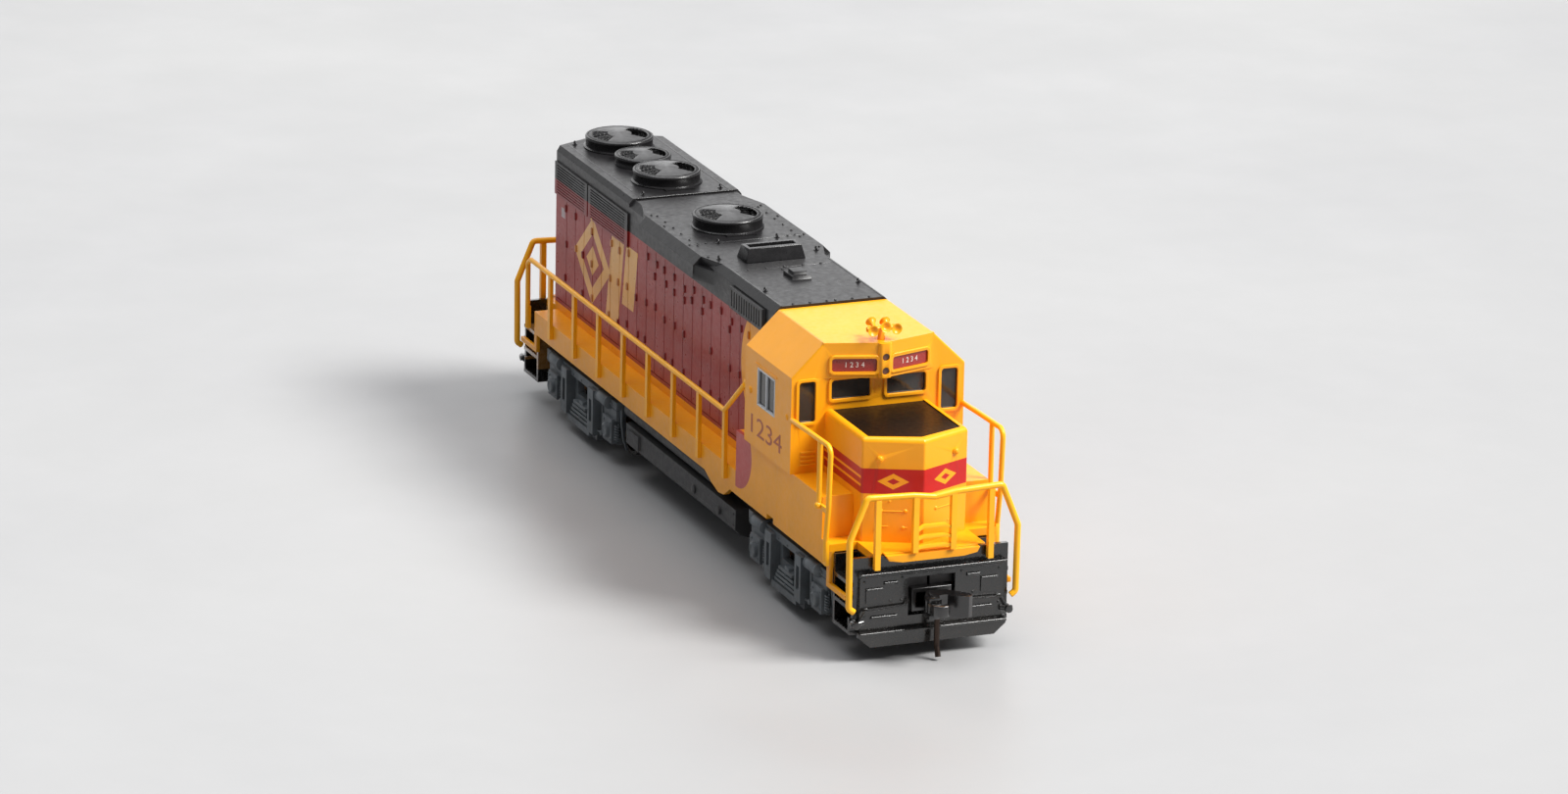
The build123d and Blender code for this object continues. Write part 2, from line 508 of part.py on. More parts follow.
# ---- split frame ----
FRAME_END = PILOT_X - 0.1
UNDER_DECK = DECK_Z - DECK_THICK - 0.05
frame_profile = [(-FRAME_END, 7.35), (-43.4, 7.35), (-43.4, FRAME_BOTTOM), (43.4, FRAME_BOTTOM), (43.4, 7.35),
                 (FRAME_END, 7.35), (FRAME_END, UNDER_DECK), (40.3, UNDER_DECK), (40.3, 17.8), (20.0, 17.8),
                 (20.0, 25.3), (-43.1, 25.3), (-43.1, UNDER_DECK), (-FRAME_END, UNDER_DECK)]
FRAME_SCREWS = ((-20.0, 22.6), (13.5, 22.6), (-20.0, 9.35), (13.5, 9.35))
BEARING_X = (TRUCK_X - 5.9, TRUCK_X + 5.9)
for name, side in (("frame_right", -1), ("frame_left", 1)):
    with BuildPart() as frame_half:
        prism_y(frame_profile, beside(side, FRAME_GAP, FRAME_Y))
        block((-9.4, 9.4), (-4.6, 4.6), (8.9, 20.5), Mode.SUBTRACT)
        rod((-18.6, 0, MOTOR_Z), (18.6, 0, MOTOR_Z), 4.5, Mode.SUBTRACT)
        rod((-38.5, 0, MOTOR_Z), (38.5, 0, MOTOR_Z), 2.4, Mode.SUBTRACT)
        for end in (-1, 1):
            rod((end * TRUCK_X, 0, 7.0), (end * TRUCK_X, 0, 13.5), SWIVEL_BORE, Mode.SUBTRACT)
            # room for the idlers as the truck swings
            block((end * TRUCK_X - 7.4, end * TRUCK_X + 7.4), (-2.3, 2.3), (7.0, 9.4), Mode.SUBTRACT)
            for x in BEARING_X:
                block(beside(end, x - 0.9, x + 0.9), (-2.6, 2.6), (MOTOR_Z - 2.6, MOTOR_Z + 2.6),
                      Mode.SUBTRACT)
        for x, z in FRAME_SCREWS:
            rod((x, -6, z), (x, 6, z), 0.6, Mode.SUBTRACT)
        for end in (-1, 1):
            rod((end * COUPLER_PIVOT, 0, 7.0), (end * COUPLER_PIVOT, 0, 9.2), 0.5, Mode.SUBTRACT)
    save(frame_half.part, name)

with BuildPart() as screws:
    for x, z in FRAME_SCREWS:
        rod((x, -FRAME_Y, z), (x, FRAME_Y - 0.4, z), 0.58)
        rod((x, -FRAME_Y - 0.45, z), (x, -FRAME_Y, z), 1.0)
        block((x - 0.7, x + 0.7), (-FRAME_Y - 0.6, -FRAME_Y - 0.3), (z - 0.12, z + 0.12), Mode.SUBTRACT)
    for end in (-1, 1):
        rod((end * COUPLER_PIVOT, 0, 4.85), (end * COUPLER_PIVOT, 0, 9.1), 0.48)
        rod((end * COUPLER_PIVOT, 0, 4.4), (end * COUPLER_PIVOT, 0, 4.85), 0.95)
save(screws.part, "screws")

# ---- motor ----
with BuildPart() as motor_can:
    with BuildSketch(Plane.YZ.offset(-8.4)):
        with Locations((0, MOTOR_Z)):
            RectangleRounded(9.0, 10.8, 2.2)
            Circle(3.95, mode=Mode.SUBTRACT)
    extrude(amount=16.8)
    for x in (-8.9, 8.4):
        with BuildSketch(Plane.YZ.offset(x)):
            with Locations((0, MOTOR_Z)):
                RectangleRounded(7.6, 9.4, 2.0)
                Circle(0.95, mode=Mode.SUBTRACT)
        extrude(amount=0.5)
    for side in (-1, 1):
        block((5.2, 6.6), beside(side, 1.0, 4.6), (MOTOR_Z - 0.7, MOTOR_Z + 0.7), Mode.SUBTRACT)
save(motor_can.part, "motor_can")

with BuildPart() as motor_magnets:
    with BuildSketch(Plane.YZ.offset(-6.0)):
        with Locations((0, MOTOR_Z)):
            Circle(3.93)
            Circle(3.35, mode=Mode.SUBTRACT)
            Rectangle(2.6, 9, mode=Mode.SUBTRACT)
            Rectangle(9, 1.6, mode=Mode.SUBTRACT)
    extrude(amount=10.5)
save(motor_magnets.part, "motor_magnets")

with BuildPart() as motor_brushes:
    for side in (-1, 1):
        block((5.3, 6.5), beside(side, 1.32, 4.5), (MOTOR_Z - 0.6, MOTOR_Z + 0.6))
save(motor_brushes.part, "motor_brushes")

with BuildPart() as armature:
    for pole in range(5):
        angle = 2 * pi * pole / 5
        middle = (2.4 * cos(angle), MOTOR_Z + 2.4 * sin(angle))
        with BuildSketch(Plane.YZ.offset(-5.0)):
            with Locations(Location(middle, degrees(angle))):
                Rectangle(1.3, 2.2)
            with Locations(Location((1.2 * cos(angle), MOTOR_Z + 1.2 * sin(angle)), degrees(angle))):
                Rectangle(2.0, 0.8)
        extrude(amount=8.5)
    with BuildSketch(Plane.YZ.offset(-5.0)):
        with Locations((0, MOTOR_Z)):
            Circle(1.1)
    extrude(amount=8.5)
    rod((-6, 0, MOTOR_Z), (5, 0, MOTOR_Z), 0.5, Mode.SUBTRACT)
save(armature.part, "armature")

with BuildPart() as commutator:
    with BuildSketch(Plane.YZ.offset(4.6)):
        with Locations((0, MOTOR_Z)):
            Circle(1.28)
            Circle(0.5, mode=Mode.SUBTRACT)
            with PolarLocations(1.28, 5):
                Rectangle(0.4, 0.1, mode=Mode.SUBTRACT)
    extrude(amount=2.6)
save(commutator.part, "commutator")

with BuildPart() as motor_shaft:
    rod((-17.6, 0, MOTOR_Z), (17.6, 0, MOTOR_Z), 0.5)
save(motor_shaft.part, "motor_shaft")

with BuildPart() as flywheels:
    for end in (-1, 1):
        rod((end * 10.2, 0, MOTOR_Z), (end * 17.4, 0, MOTOR_Z), 4.1)
    rod((-18, 0, MOTOR_Z), (18, 0, MOTOR_Z), 0.5, Mode.SUBTRACT)
save(flywheels.part, "flywheels")

# ---- worms: right-hand single-start thread round a stepped shaft ----
LEAD = pi * MODULE
THREAD_TURNS = 5                # odd, so that the crest is at the underside at the truck's centre
with BuildPart() as worms:
    for end in (-1, 1):
        centre = end * TRUCK_X
        thread_start = (centre - LEAD * THREAD_TURNS / 2, 0, MOTOR_Z)
        rod((centre - LEAD * 3 - 0.4, 0, MOTOR_Z), (centre + LEAD * 3 + 0.4, 0, MOTOR_Z), WORM_RADIUS - 0.28)
        rod((centre - 7.2, 0, MOTOR_Z), (centre + 7.2, 0, MOTOR_Z), 0.7)
        near = centre - end * 7.2
        rod((near, 0, MOTOR_Z), (end * 18.2, 0, MOTOR_Z), 0.7)
        rod((end * 17.62, 0, MOTOR_Z), (end * 20.6, 0, MOTOR_Z), 1.3)
        with BuildLine() as thread_line:
            Helix(LEAD, LEAD * THREAD_TURNS, WORM_RADIUS - 0.3, center=thread_start, direction=(1, 0, 0))
        path = thread_line.wires()[0]
        with BuildSketch(Plane(origin=path @ 0, x_dir=(0, 0, 1), z_dir=path % 0)) as tooth:
            Polygon((-0.06, -0.2), (-0.06, 0.2), (0.5, 0.07), (0.5, -0.07), align=None)
        sweep(tooth.sketch, path=path, is_frenet=True)
save(worms.part, "worms")

with BuildPart() as worm_bearings:
    for end in (-1, 1):
        for x in BEARING_X:
            block(beside(end, x - 0.85, x + 0.85), (-2.5, 2.5), (MOTOR_Z - 2.5, MOTOR_Z + 2.5))
            rod((end * (x - 1), 0, MOTOR_Z), (end * (x + 1), 0, MOTOR_Z), 0.75, Mode.SUBTRACT)
save(worm_bearings.part, "worm_bearings")

with BuildPart() as circuit_board:
    block((-39.0, 17.5), (-4.4, 4.4), (25.35, 25.95))
    block((17.5, 27.0), (-1.6, 1.6), (25.35, 25.95))
    for x, length, width in ((-25.0, 5.0, 4.0), (-15.0, 2.4, 1.4), (0.0, 4.2, 4.2), (8.0, 2.0, 1.2)):
        block((x - length / 2, x + length / 2), (-width / 2, width / 2), (25.95, 26.75))
    block((27.0, 28.6), (-0.9, 0.9), (24.9, 26.5))
    block((-40.6, -39.0), (-0.9, 0.9), (25.35, 26.9))
save(circuit_board.part, "circuit_board")

# ---- couplers ----
with BuildPart() as coupler_boxes:
    for end in (-1, 1):
        block(beside(end, STEP_X + 0.05, PILOT_X + 0.9), (-2.2, 2.2), (4.87, 7.33))
        block(beside(end, STEP_X + 0.65, PILOT_X + 1.0), (-1.75, 1.75), (5.3, 6.9), Mode.SUBTRACT)
        rod((end * COUPLER_PIVOT, 0, 5.2), (end * COUPLER_PIVOT, 0, 7.0), 0.8)
        rod((end * COUPLER_PIVOT, 0, 4), (end * COUPLER_PIVOT, 0, 8), 0.5, Mode.SUBTRACT)
save(coupler_boxes.part, "coupler_boxes")

for name, end in (("front", 1), ("rear", -1)):
    def turned(points):
        """Outline points for this end: the rear coupler is the front one turned half round."""
        return [(end * x, end * y) for x, y in points]

    pivot_x, pivot_y = KNUCKLE_PIVOT
    with BuildPart() as coupler:
        with BuildSketch(Plane.XY.offset(5.4)):
            with Locations((end * COUPLER_PIVOT, 0)):
                Circle(1.3)
            Polygon(*turned([(46.2, -0.65), (50.2, -0.65), (50.2, 0.65), (46.2, 0.65)]), align=None)
            with Locations((end * COUPLER_PIVOT, 0)):
                Circle(0.85, mode=Mode.SUBTRACT)
        extrude(amount=1.4)
        head = [(49.7, -0.9), (50.9, -1.65), (52.2, -1.65), (52.2, -0.5), (51.4, -0.3), (51.4, 0.7),
                (52.4, 1.6), (52.8, 2.5), (52.5, 3.0), (51.7, 3.0), (50.5, 1.8), (49.7, 0.9)]
        prism_z(turned(head), (4.95, 7.25))
        # slot that the knuckle swings in
        with BuildSketch(Plane.XY.offset(5.45)):
            with Locations((end * pivot_x, end * pivot_y)):
                Circle(1.12)
            Polygon(*turned([(51.0, -1.2), (51.0, -2.2), (53.2, -2.2), (53.2, 0.1), (52.2, 0.1)]), align=None)
        extrude(amount=1.3, mode=Mode.SUBTRACT)
        rod((end * pivot_x, end * pivot_y, 4.9), (end * pivot_x, end * pivot_y, 7.3), 0.26)
        rod((end * PIN_X, 0, 4.0), (end * PIN_X, 0, 5.9), 0.31, Mode.SUBTRACT)
    save(coupler.part, f"{name}_coupler")

    with BuildPart() as knuckle:
        with BuildSketch(Plane.XY.offset(5.5)):
            with Locations((end * pivot_x, end * pivot_y)):
                Circle(0.62)
            Polygon(*turned([(51.7, -1.6), (52.9, -1.45), (53.5, -0.9), (53.5, -0.1), (52.95, 0.35),
                             (52.6, 0.2), (52.8, -0.45), (52.2, -0.75), (51.7, -0.6)]), align=None)
            with Locations((end * pivot_x, end * pivot_y)):
                Circle(0.31, mode=Mode.SUBTRACT)
        extrude(amount=1.2)
    save(knuckle.part, f"{name}_knuckle")

    with BuildPart() as trip_pin:
        x = end * PIN_X
        wire([(x, 0, 5.88), (x, 0, 1.6), (x + end * 0.5, 0, 0.4)], 0.3, bend=1.2)
    save(trip_pin.part, f"{name}_trip_pin")


# ---- gears ----
def involute(angle):
    """Involute function."""
    return tan(angle) - angle


def polar(radius, angle):
    """Point at a radius and angle."""
    return (radius * cos(angle), radius * sin(angle))


def gear_outline(teeth, phase):
    """Points of a spur gear with one tooth centred on the phase angle."""
    pitch_radius = MODULE * teeth / 2
    base_radius = pitch_radius * cos(PRESSURE)
    radii = (pitch_radius - 1.1 * MODULE, base_radius, pitch_radius, pitch_radius + 0.82 * MODULE)
    points = []
    for tooth in range(teeth):
        middle = phase + 2 * pi * tooth / teeth
        spreads = []
        for radius in radii:
            roll = involute(acos(min(1.0, base_radius / radius)))
            spreads.append(TOOTH_SHARE * pi / teeth + involute(PRESSURE) - roll)
        points += [polar(radius, middle - spread) for radius, spread in zip(radii, spreads)]
        points += [polar(radius, middle + spread) for radius, spread in reversed(list(zip(radii, spreads)))]
    return points


def meshing_phase(teeth, phase, centre, next_teeth, next_centre):
    """Phase of the next gear that puts its gap against this gear's tooth."""
    direction = atan2(next_centre[1] - centre[1], next_centre[0] - centre[0])
    arc = (phase - direction) * teeth / 2 + pi / 2
    return direction + pi - arc * 2 / next_teeth


def gear_blank(centre, teeth, phase, half_width, bore):
    """A spur gear about an axis along Y, in the part being built."""
    end_face = Plane(origin=(centre[0], half_width, centre[1]), x_dir=(1, 0, 0), z_dir=(0, -1, 0))
    with BuildSketch(end_face) as outline:
        Polygon(*gear_outline(teeth, phase), align=None)
        if bore:
            Circle(bore, mode=Mode.SUBTRACT)
    extrude(outline.sketch, amount=2 * half_width)


worm_gear_radius = MODULE * WORM_GEAR_TEETH / 2
idler_radius = MODULE * IDLER_TEETH / 2
axle_gear_radius = MODULE * AXLE_GEAR_TEETH / 2
worm_gear_z = MOTOR_Z - WORM_RADIUS - worm_gear_radius - WORM_MESH_GAP
# idler centre, where the two pitch circles' centre distances cross, on the lower side
reach_a = worm_gear_radius + idler_radius
reach_b = idler_radius + axle_gear_radius
drop = worm_gear_z - AXLE_Z
span = sqrt(AXLE_OFFSET ** 2 + drop ** 2)
lean = atan2(-drop, AXLE_OFFSET)
bend_angle = acos((reach_a ** 2 + span ** 2 - reach_b ** 2) / (2 * reach_a * span))
idler_x = reach_a * cos(lean - bend_angle)
idler_z = worm_gear_z + reach_a * sin(lean - bend_angle)
print("idler centre", round(idler_x, 3), round(idler_z, 3), "worm gear z", round(worm_gear_z, 3))

# wheel and pointed axle end: radius, distance from the middle of the axle
FLANGE_RADIUS = TREAD_RADIUS + FLANGE_DEPTH
WHEEL_PROFILE = [(0, 3.71), (2.2, 3.75), (TREAD_RADIUS + 0.3, 3.75), (FLANGE_RADIUS, 3.95),
                 (FLANGE_RADIUS, 4.15), (TREAD_RADIUS + 0.12, 4.42), (TREAD_RADIUS, 4.6),
                 (TREAD_RADIUS - 0.06, 5.9), (2.65, 5.9), (2.5, 5.45), (1.1, 5.45), (0.9, 5.9),
                 (0.4, 5.9), (0.4, 6.3), (0, 6.62)]
GEARBOX_Y = (1.05, 2.4)
PIN_RADIUS = 0.5
BORE_RADIUS = 0.55
TUBE_RADIUS = 1.0
FRAME_FACE = 8.0                # outer face of the truck side frames
FRAME_OUTLINE = [(-10.9, 6.2), (-10.9, 7.7), (10.9, 7.7), (10.9, 6.2), (10.3, 5.4), (10.3, 3.4), (9.7, 2.3),
                 (7.4, 2.3), (6.9, 3.2), (6.6, 5.6), (4.4, 5.4), (3.8, 3.0), (3.6, 1.3), (-3.6, 1.3),
                 (-3.8, 3.0), (-4.4, 5.4), (-6.6, 5.6), (-6.9, 3.2), (-7.4, 2.3), (-9.7, 2.3),
                 (-10.3, 3.4), (-10.3, 5.4)]

for name, end in (("front", 1), ("rear", -1)):
    truck_x = end * TRUCK_X
    worm_gear_phase = pi / 2 + pi / WORM_GEAR_TEETH
    worm_gear_centre = (truck_x, worm_gear_z)

    with BuildPart() as worm_gear:
        gear_blank(worm_gear_centre, WORM_GEAR_TEETH, worm_gear_phase, 0.65, BORE_RADIUS)
    save(worm_gear.part, f"{name}_worm_gear")

    for place, inward in (("outer", 1), ("inner", -1)):
        toward = end * inward
        idler_centre = (truck_x + toward * idler_x, idler_z)
        axle_centre = (truck_x + toward * AXLE_OFFSET, AXLE_Z)
        idler_phase = meshing_phase(WORM_GEAR_TEETH, worm_gear_phase, worm_gear_centre, IDLER_TEETH,
                                    idler_centre)
        axle_phase = meshing_phase(IDLER_TEETH, idler_phase, idler_centre, AXLE_GEAR_TEETH, axle_centre)

        with BuildPart() as idler:
            gear_blank(idler_centre, IDLER_TEETH, idler_phase, 0.8, BORE_RADIUS)
        save(idler.part, f"{name}_{place}_idler")

        with BuildPart() as axle_gear:
            gear_blank(axle_centre, AXLE_GEAR_TEETH, axle_phase, 0.8, 0)
            rod((axle_centre[0], -3.7, AXLE_Z), (axle_centre[0], 3.7, AXLE_Z), TUBE_RADIUS)
            rod((axle_centre[0], -4, AXLE_Z), (axle_centre[0], 4, AXLE_Z), 0.45, Mode.SUBTRACT)
        save(axle_gear.part, f"{name}_{place}_axle_gear")

        with BuildPart() as wheels:
            for side in (-1, 1):
                lathe = Plane(origin=(axle_centre[0], 0, AXLE_Z), x_dir=(0, 0, 1), z_dir=(-side, 0, 0))
                with BuildSketch(lathe):
                    Polygon(*WHEEL_PROFILE, align=None)
                revolve(axis=Axis((axle_centre[0], 0, AXLE_Z), (0, 1, 0)))
                rod((axle_centre[0], side * 0.15, AXLE_Z), (axle_centre[0], side * 3.8, AXLE_Z), 0.44)
        save(wheels.part, f"{name}_{place}_wheels")

    with BuildPart() as gearbox:
        profile = [(-10.4, 1.75), (10.4, 1.75), (11.9, 2.6), (11.9, 5.0), (9.2, 6.0), (3.95, 8.2),
                   (3.95, 12.0), (3.0, 12.3), (-3.0, 12.3), (-3.95, 12.0), (-3.95, 8.2), (-9.2, 6.0),
                   (-11.9, 5.0), (-11.9, 2.6)]
        prism_y([(truck_x + x, z) for x, z in profile], (-GEARBOX_Y[1], GEARBOX_Y[1]))
        rod((truck_x, 0, 8.35), (truck_x, 0, 9.35), SWIVEL_RADIUS)
        # gear chamber, leaving a tie between the idlers and the end walls
        chamber = [(-11.3, 1.0), (-1.3, 1.0), (-1.3, 3.2), (1.3, 3.2), (1.3, 1.0), (11.3, 1.0), (11.3, 5.2),
                   (8.4, 7.4), (5.2, 9.5), (3.6, 9.5), (3.6, 13.0), (-3.6, 13.0), (-3.6, 9.5), (-5.2, 9.5),
                   (-8.4, 7.4), (-11.3, 5.2)]
        prism_y([(truck_x + x, z) for x, z in chamber], (-GEARBOX_Y[0], GEARBOX_Y[0]), Mode.SUBTRACT)
        pins = [(0, worm_gear_z), (idler_x, idler_z), (-idler_x, idler_z)]
        for x, z in pins:
            rod((truck_x + x, -2.0, z), (truck_x + x, 2.0, z), PIN_RADIUS)
        # slots that the axle tubes drop into from below
        slot_radius = TUBE_RADIUS + 0.05
        for x in (truck_x - AXLE_OFFSET, truck_x + AXLE_OFFSET):
            rod((x, -3, AXLE_Z), (x, 3, AXLE_Z), slot_radius, Mode.SUBTRACT)
            block((x - slot_radius, x + slot_radius), (-3, 3), (1, AXLE_Z), Mode.SUBTRACT)
    save(gearbox.part, f"{name}_gearbox")

    with BuildPart() as pickups:
        for side in (-1, 1):
            strip = [(-10.2, 2.9), (-6.9, 2.9), (-6.2, 4.6), (6.2, 4.6), (6.9, 2.9), (10.2, 2.9), (10.2, 4.9),
                     (3.2, 5.8), (2.0, 7.9), (-2.0, 7.9), (-3.2, 5.8), (-10.2, 4.9)]
            prism_y([(truck_x + x, z) for x, z in strip], beside(side, 6.42, 6.68))
        for x in (-AXLE_OFFSET, AXLE_OFFSET):
            rod((truck_x + x, -8, AXLE_Z), (truck_x + x, 8, AXLE_Z), 0.47, Mode.SUBTRACT)
    save(pickups.part, f"{name}_pickups")

    def along(middle, half):
        """X range of a feature on this truck."""
        return (truck_x + middle - half, truck_x + middle + half)

    def proud(side, near, far):
        """Y range between two distances from the outer face of a side frame."""
        return beside(side, FRAME_FACE + near, FRAME_FACE + far)

    with BuildPart() as sideframes:
        # keeper plate under the gearbox, open at the axle gears, and a transom between the side frames
        block(along(0, 10.6), (-2.4, 2.4), (0.95, 1.7))
        for x in (-AXLE_OFFSET, AXLE_OFFSET):
            block(along(x, 2.65), (-1.1, 1.1), (0, 2), Mode.SUBTRACT)
        block(along(0, 3.6), (-7.6, 7.6), (0.95, 1.7))
        for side in (-1, 1):
            prism_y([(truck_x + x, z) for x, z in FRAME_OUTLINE], beside(side, 7.2, FRAME_FACE))
            block(along(0, 3.6), proud(side, -1, 0), (0.95, 1.8))
            # window in the side frame behind the springs
            block(along(0, 2.6), proud(side, -1, 0.2), (4.6, 6.3), Mode.SUBTRACT)
            for x in (-AXLE_OFFSET, AXLE_OFFSET):
                # journal box with its lid
                block(along(x, 1.35), proud(side, -0.1, 0.75), (2.5, 5.3))
                lid_y = side * (FRAME_FACE + 0.7)
                rod((truck_x + x, lid_y, 3.8), (truck_x + x, lid_y + side * 0.3, 3.8), 0.85)
                block(along(x, 1.9), proud(side, -0.1, 0.4), (5.2, 6.4))
            # top chord
            block(along(0, 10.9), proud(side, -0.1, 0.55), (6.6, 7.5))
            # swing hangers with slots
            for x in (-4.15, 4.15):
                block(along(x, 0.85), proud(side, -0.1, 1.1), (2.1, 7.2))
                block(along(x, 0.38), proud(side, 0.3, 2), (3.4, 6.0), Mode.SUBTRACT)
            # elliptic spring of four leaves, its plank and its band
            block(along(0, 3.4), proud(side, -0.1, 0.9), (1.45, 2.15))
            for leaf in range(4):
                z = 2.35 + 0.5 * leaf
                block(along(0, 2.9 - 0.35 * leaf), proud(side, -0.1, 0.8), (z, z + 0.32))
            block(along(0, 0.6), proud(side, -0.1, 0.6), (2.1, 4.5))
            # brake cylinders at both ends
            for x in (-8.9, 6.1):
                rod((truck_x + x, side * (FRAME_FACE + 0.55), 7.0),
                    (truck_x + x + 2.8, side * (FRAME_FACE + 0.55), 7.0), 0.72)
    save(sideframes.part, f"{name}_sideframes")
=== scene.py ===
import json
import random
from math import cos, pi, radians, sin

import bmesh
import bpy
from mathutils import Matrix, Vector


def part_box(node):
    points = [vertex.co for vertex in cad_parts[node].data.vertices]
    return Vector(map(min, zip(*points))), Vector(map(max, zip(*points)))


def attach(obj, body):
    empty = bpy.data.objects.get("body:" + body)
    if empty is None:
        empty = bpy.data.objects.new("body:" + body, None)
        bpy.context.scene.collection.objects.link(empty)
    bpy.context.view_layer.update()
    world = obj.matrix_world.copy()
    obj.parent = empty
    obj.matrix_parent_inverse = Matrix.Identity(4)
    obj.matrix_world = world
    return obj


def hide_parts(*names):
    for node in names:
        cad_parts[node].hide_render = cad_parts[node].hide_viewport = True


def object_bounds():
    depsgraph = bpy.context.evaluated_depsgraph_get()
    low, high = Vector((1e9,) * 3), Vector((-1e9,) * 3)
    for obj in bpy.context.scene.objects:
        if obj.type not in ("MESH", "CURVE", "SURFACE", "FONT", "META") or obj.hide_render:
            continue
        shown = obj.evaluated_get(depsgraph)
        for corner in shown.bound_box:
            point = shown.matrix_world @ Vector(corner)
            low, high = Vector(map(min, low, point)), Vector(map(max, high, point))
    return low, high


# Looks of a 1:160 model diesel locomotive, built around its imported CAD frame.
# Shapes are worked out in millimetres in the CAD's frame: +X forward, +Y left, +Z up.

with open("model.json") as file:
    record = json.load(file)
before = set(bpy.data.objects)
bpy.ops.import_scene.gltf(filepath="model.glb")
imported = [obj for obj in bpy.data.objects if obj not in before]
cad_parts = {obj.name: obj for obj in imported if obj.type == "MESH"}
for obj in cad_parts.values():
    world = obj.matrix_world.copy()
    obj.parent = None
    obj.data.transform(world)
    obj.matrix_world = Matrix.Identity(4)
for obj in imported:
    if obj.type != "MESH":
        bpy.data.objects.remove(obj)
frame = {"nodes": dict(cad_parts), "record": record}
cad_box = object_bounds()
MM = 0.001


def corners(node):
    """Lowest and highest corner of a CAD node, in millimetres."""
    low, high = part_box(node)
    return low / MM, high / MM


# ---- places taken from the frame (mm) ----
CAB_LOW, CAB_HIGH = corners("cab_shell")
NOSE_LOW, NOSE_HIGH = corners("short_hood")
TANK_HIGH = corners("fuel_tank")[1]
HORN_LOW, HORN_HIGH = corners("horn")
ROOF_Z = corners("exhaust_stack")[0].z
RADIATOR_Z = corners("radiator_fan_front")[0].z
DECK_Z = corners("hood_shell")[0].z
CAB_SIDE = CAB_HIGH.y
CAB_FRONT = NOSE_LOW.x
CAB_REAR = CAB_LOW.x
NOSE_SIDE = NOSE_HIGH.y
NOSE_TIP = NOSE_HIGH.x
NOSE_TOP = NOSE_HIGH.z
# ---- places inside those boxes (mm) ----
HOOD_SIDE = 6.6
HOOD_REAR = -44.3
RADIATOR_FRONT = -21.7
DOOR_PITCH = 2.75
DOOR_SEAMS = [HOOD_REAR + 3.4 + DOOR_PITCH * i for i in range(23)]
ROOF_PAINT_Z = 26.35
SIDE_STRIPE_Z = DECK_Z + 0.9
NOSE_CORNER = NOSE_TIP - 2.6
NOSE_RIM = 0.75
BAND_LOW = 16.4
BAND_HIGH = 19.1
EMBLEM = (-32.7, 19.9)
STEP_REAR = -47.95
STEP_WALL = -43.4
TRUCK_X = 30.5
AXLE_OFFSET = 8.57
TRUCK_FACE = 8.0
PILOT_FACE = 48.85
DIGIT_DEPTH = 0.03


def display(red, green, blue):
    """A linear colour from display values, 0 to 255."""
    shares = [value / 255 for value in (red, green, blue)]
    return tuple(s / 12.92 if s <= 0.04045 else ((s + 0.055) / 1.055) ** 2.4 for s in shares) + (1.0,)


YELLOW = display(250, 166, 12)
RAIL_YELLOW = display(255, 180, 22)
MAROON = display(154, 44, 40)
DARK_RED = display(132, 30, 30)
BAND_RED = display(186, 18, 12)
TAN = display(226, 172, 98)
PINK_RED = display(190, 80, 76)
ROOF_BLACK = display(28, 27, 28)
DEEP_BLACK = display(12, 11, 11)
GLARE_BLACK = display(20, 14, 11)
TANK_GREY = display(50, 50, 51)
# yellow of the rear step walls, darkened as painted shade
SHADED_STEP_YELLOW = display(150, 108, 58)
TRUCK_GREY = display(94, 101, 106)
SILVER = display(196, 198, 202)
OFF_WHITE = display(226, 216, 206)


# ---- materials ----
def socket(sockets, identifier):
    """The socket of a Mix node with this identifier."""
    return next(s for s in sockets if s.identifier == identifier)


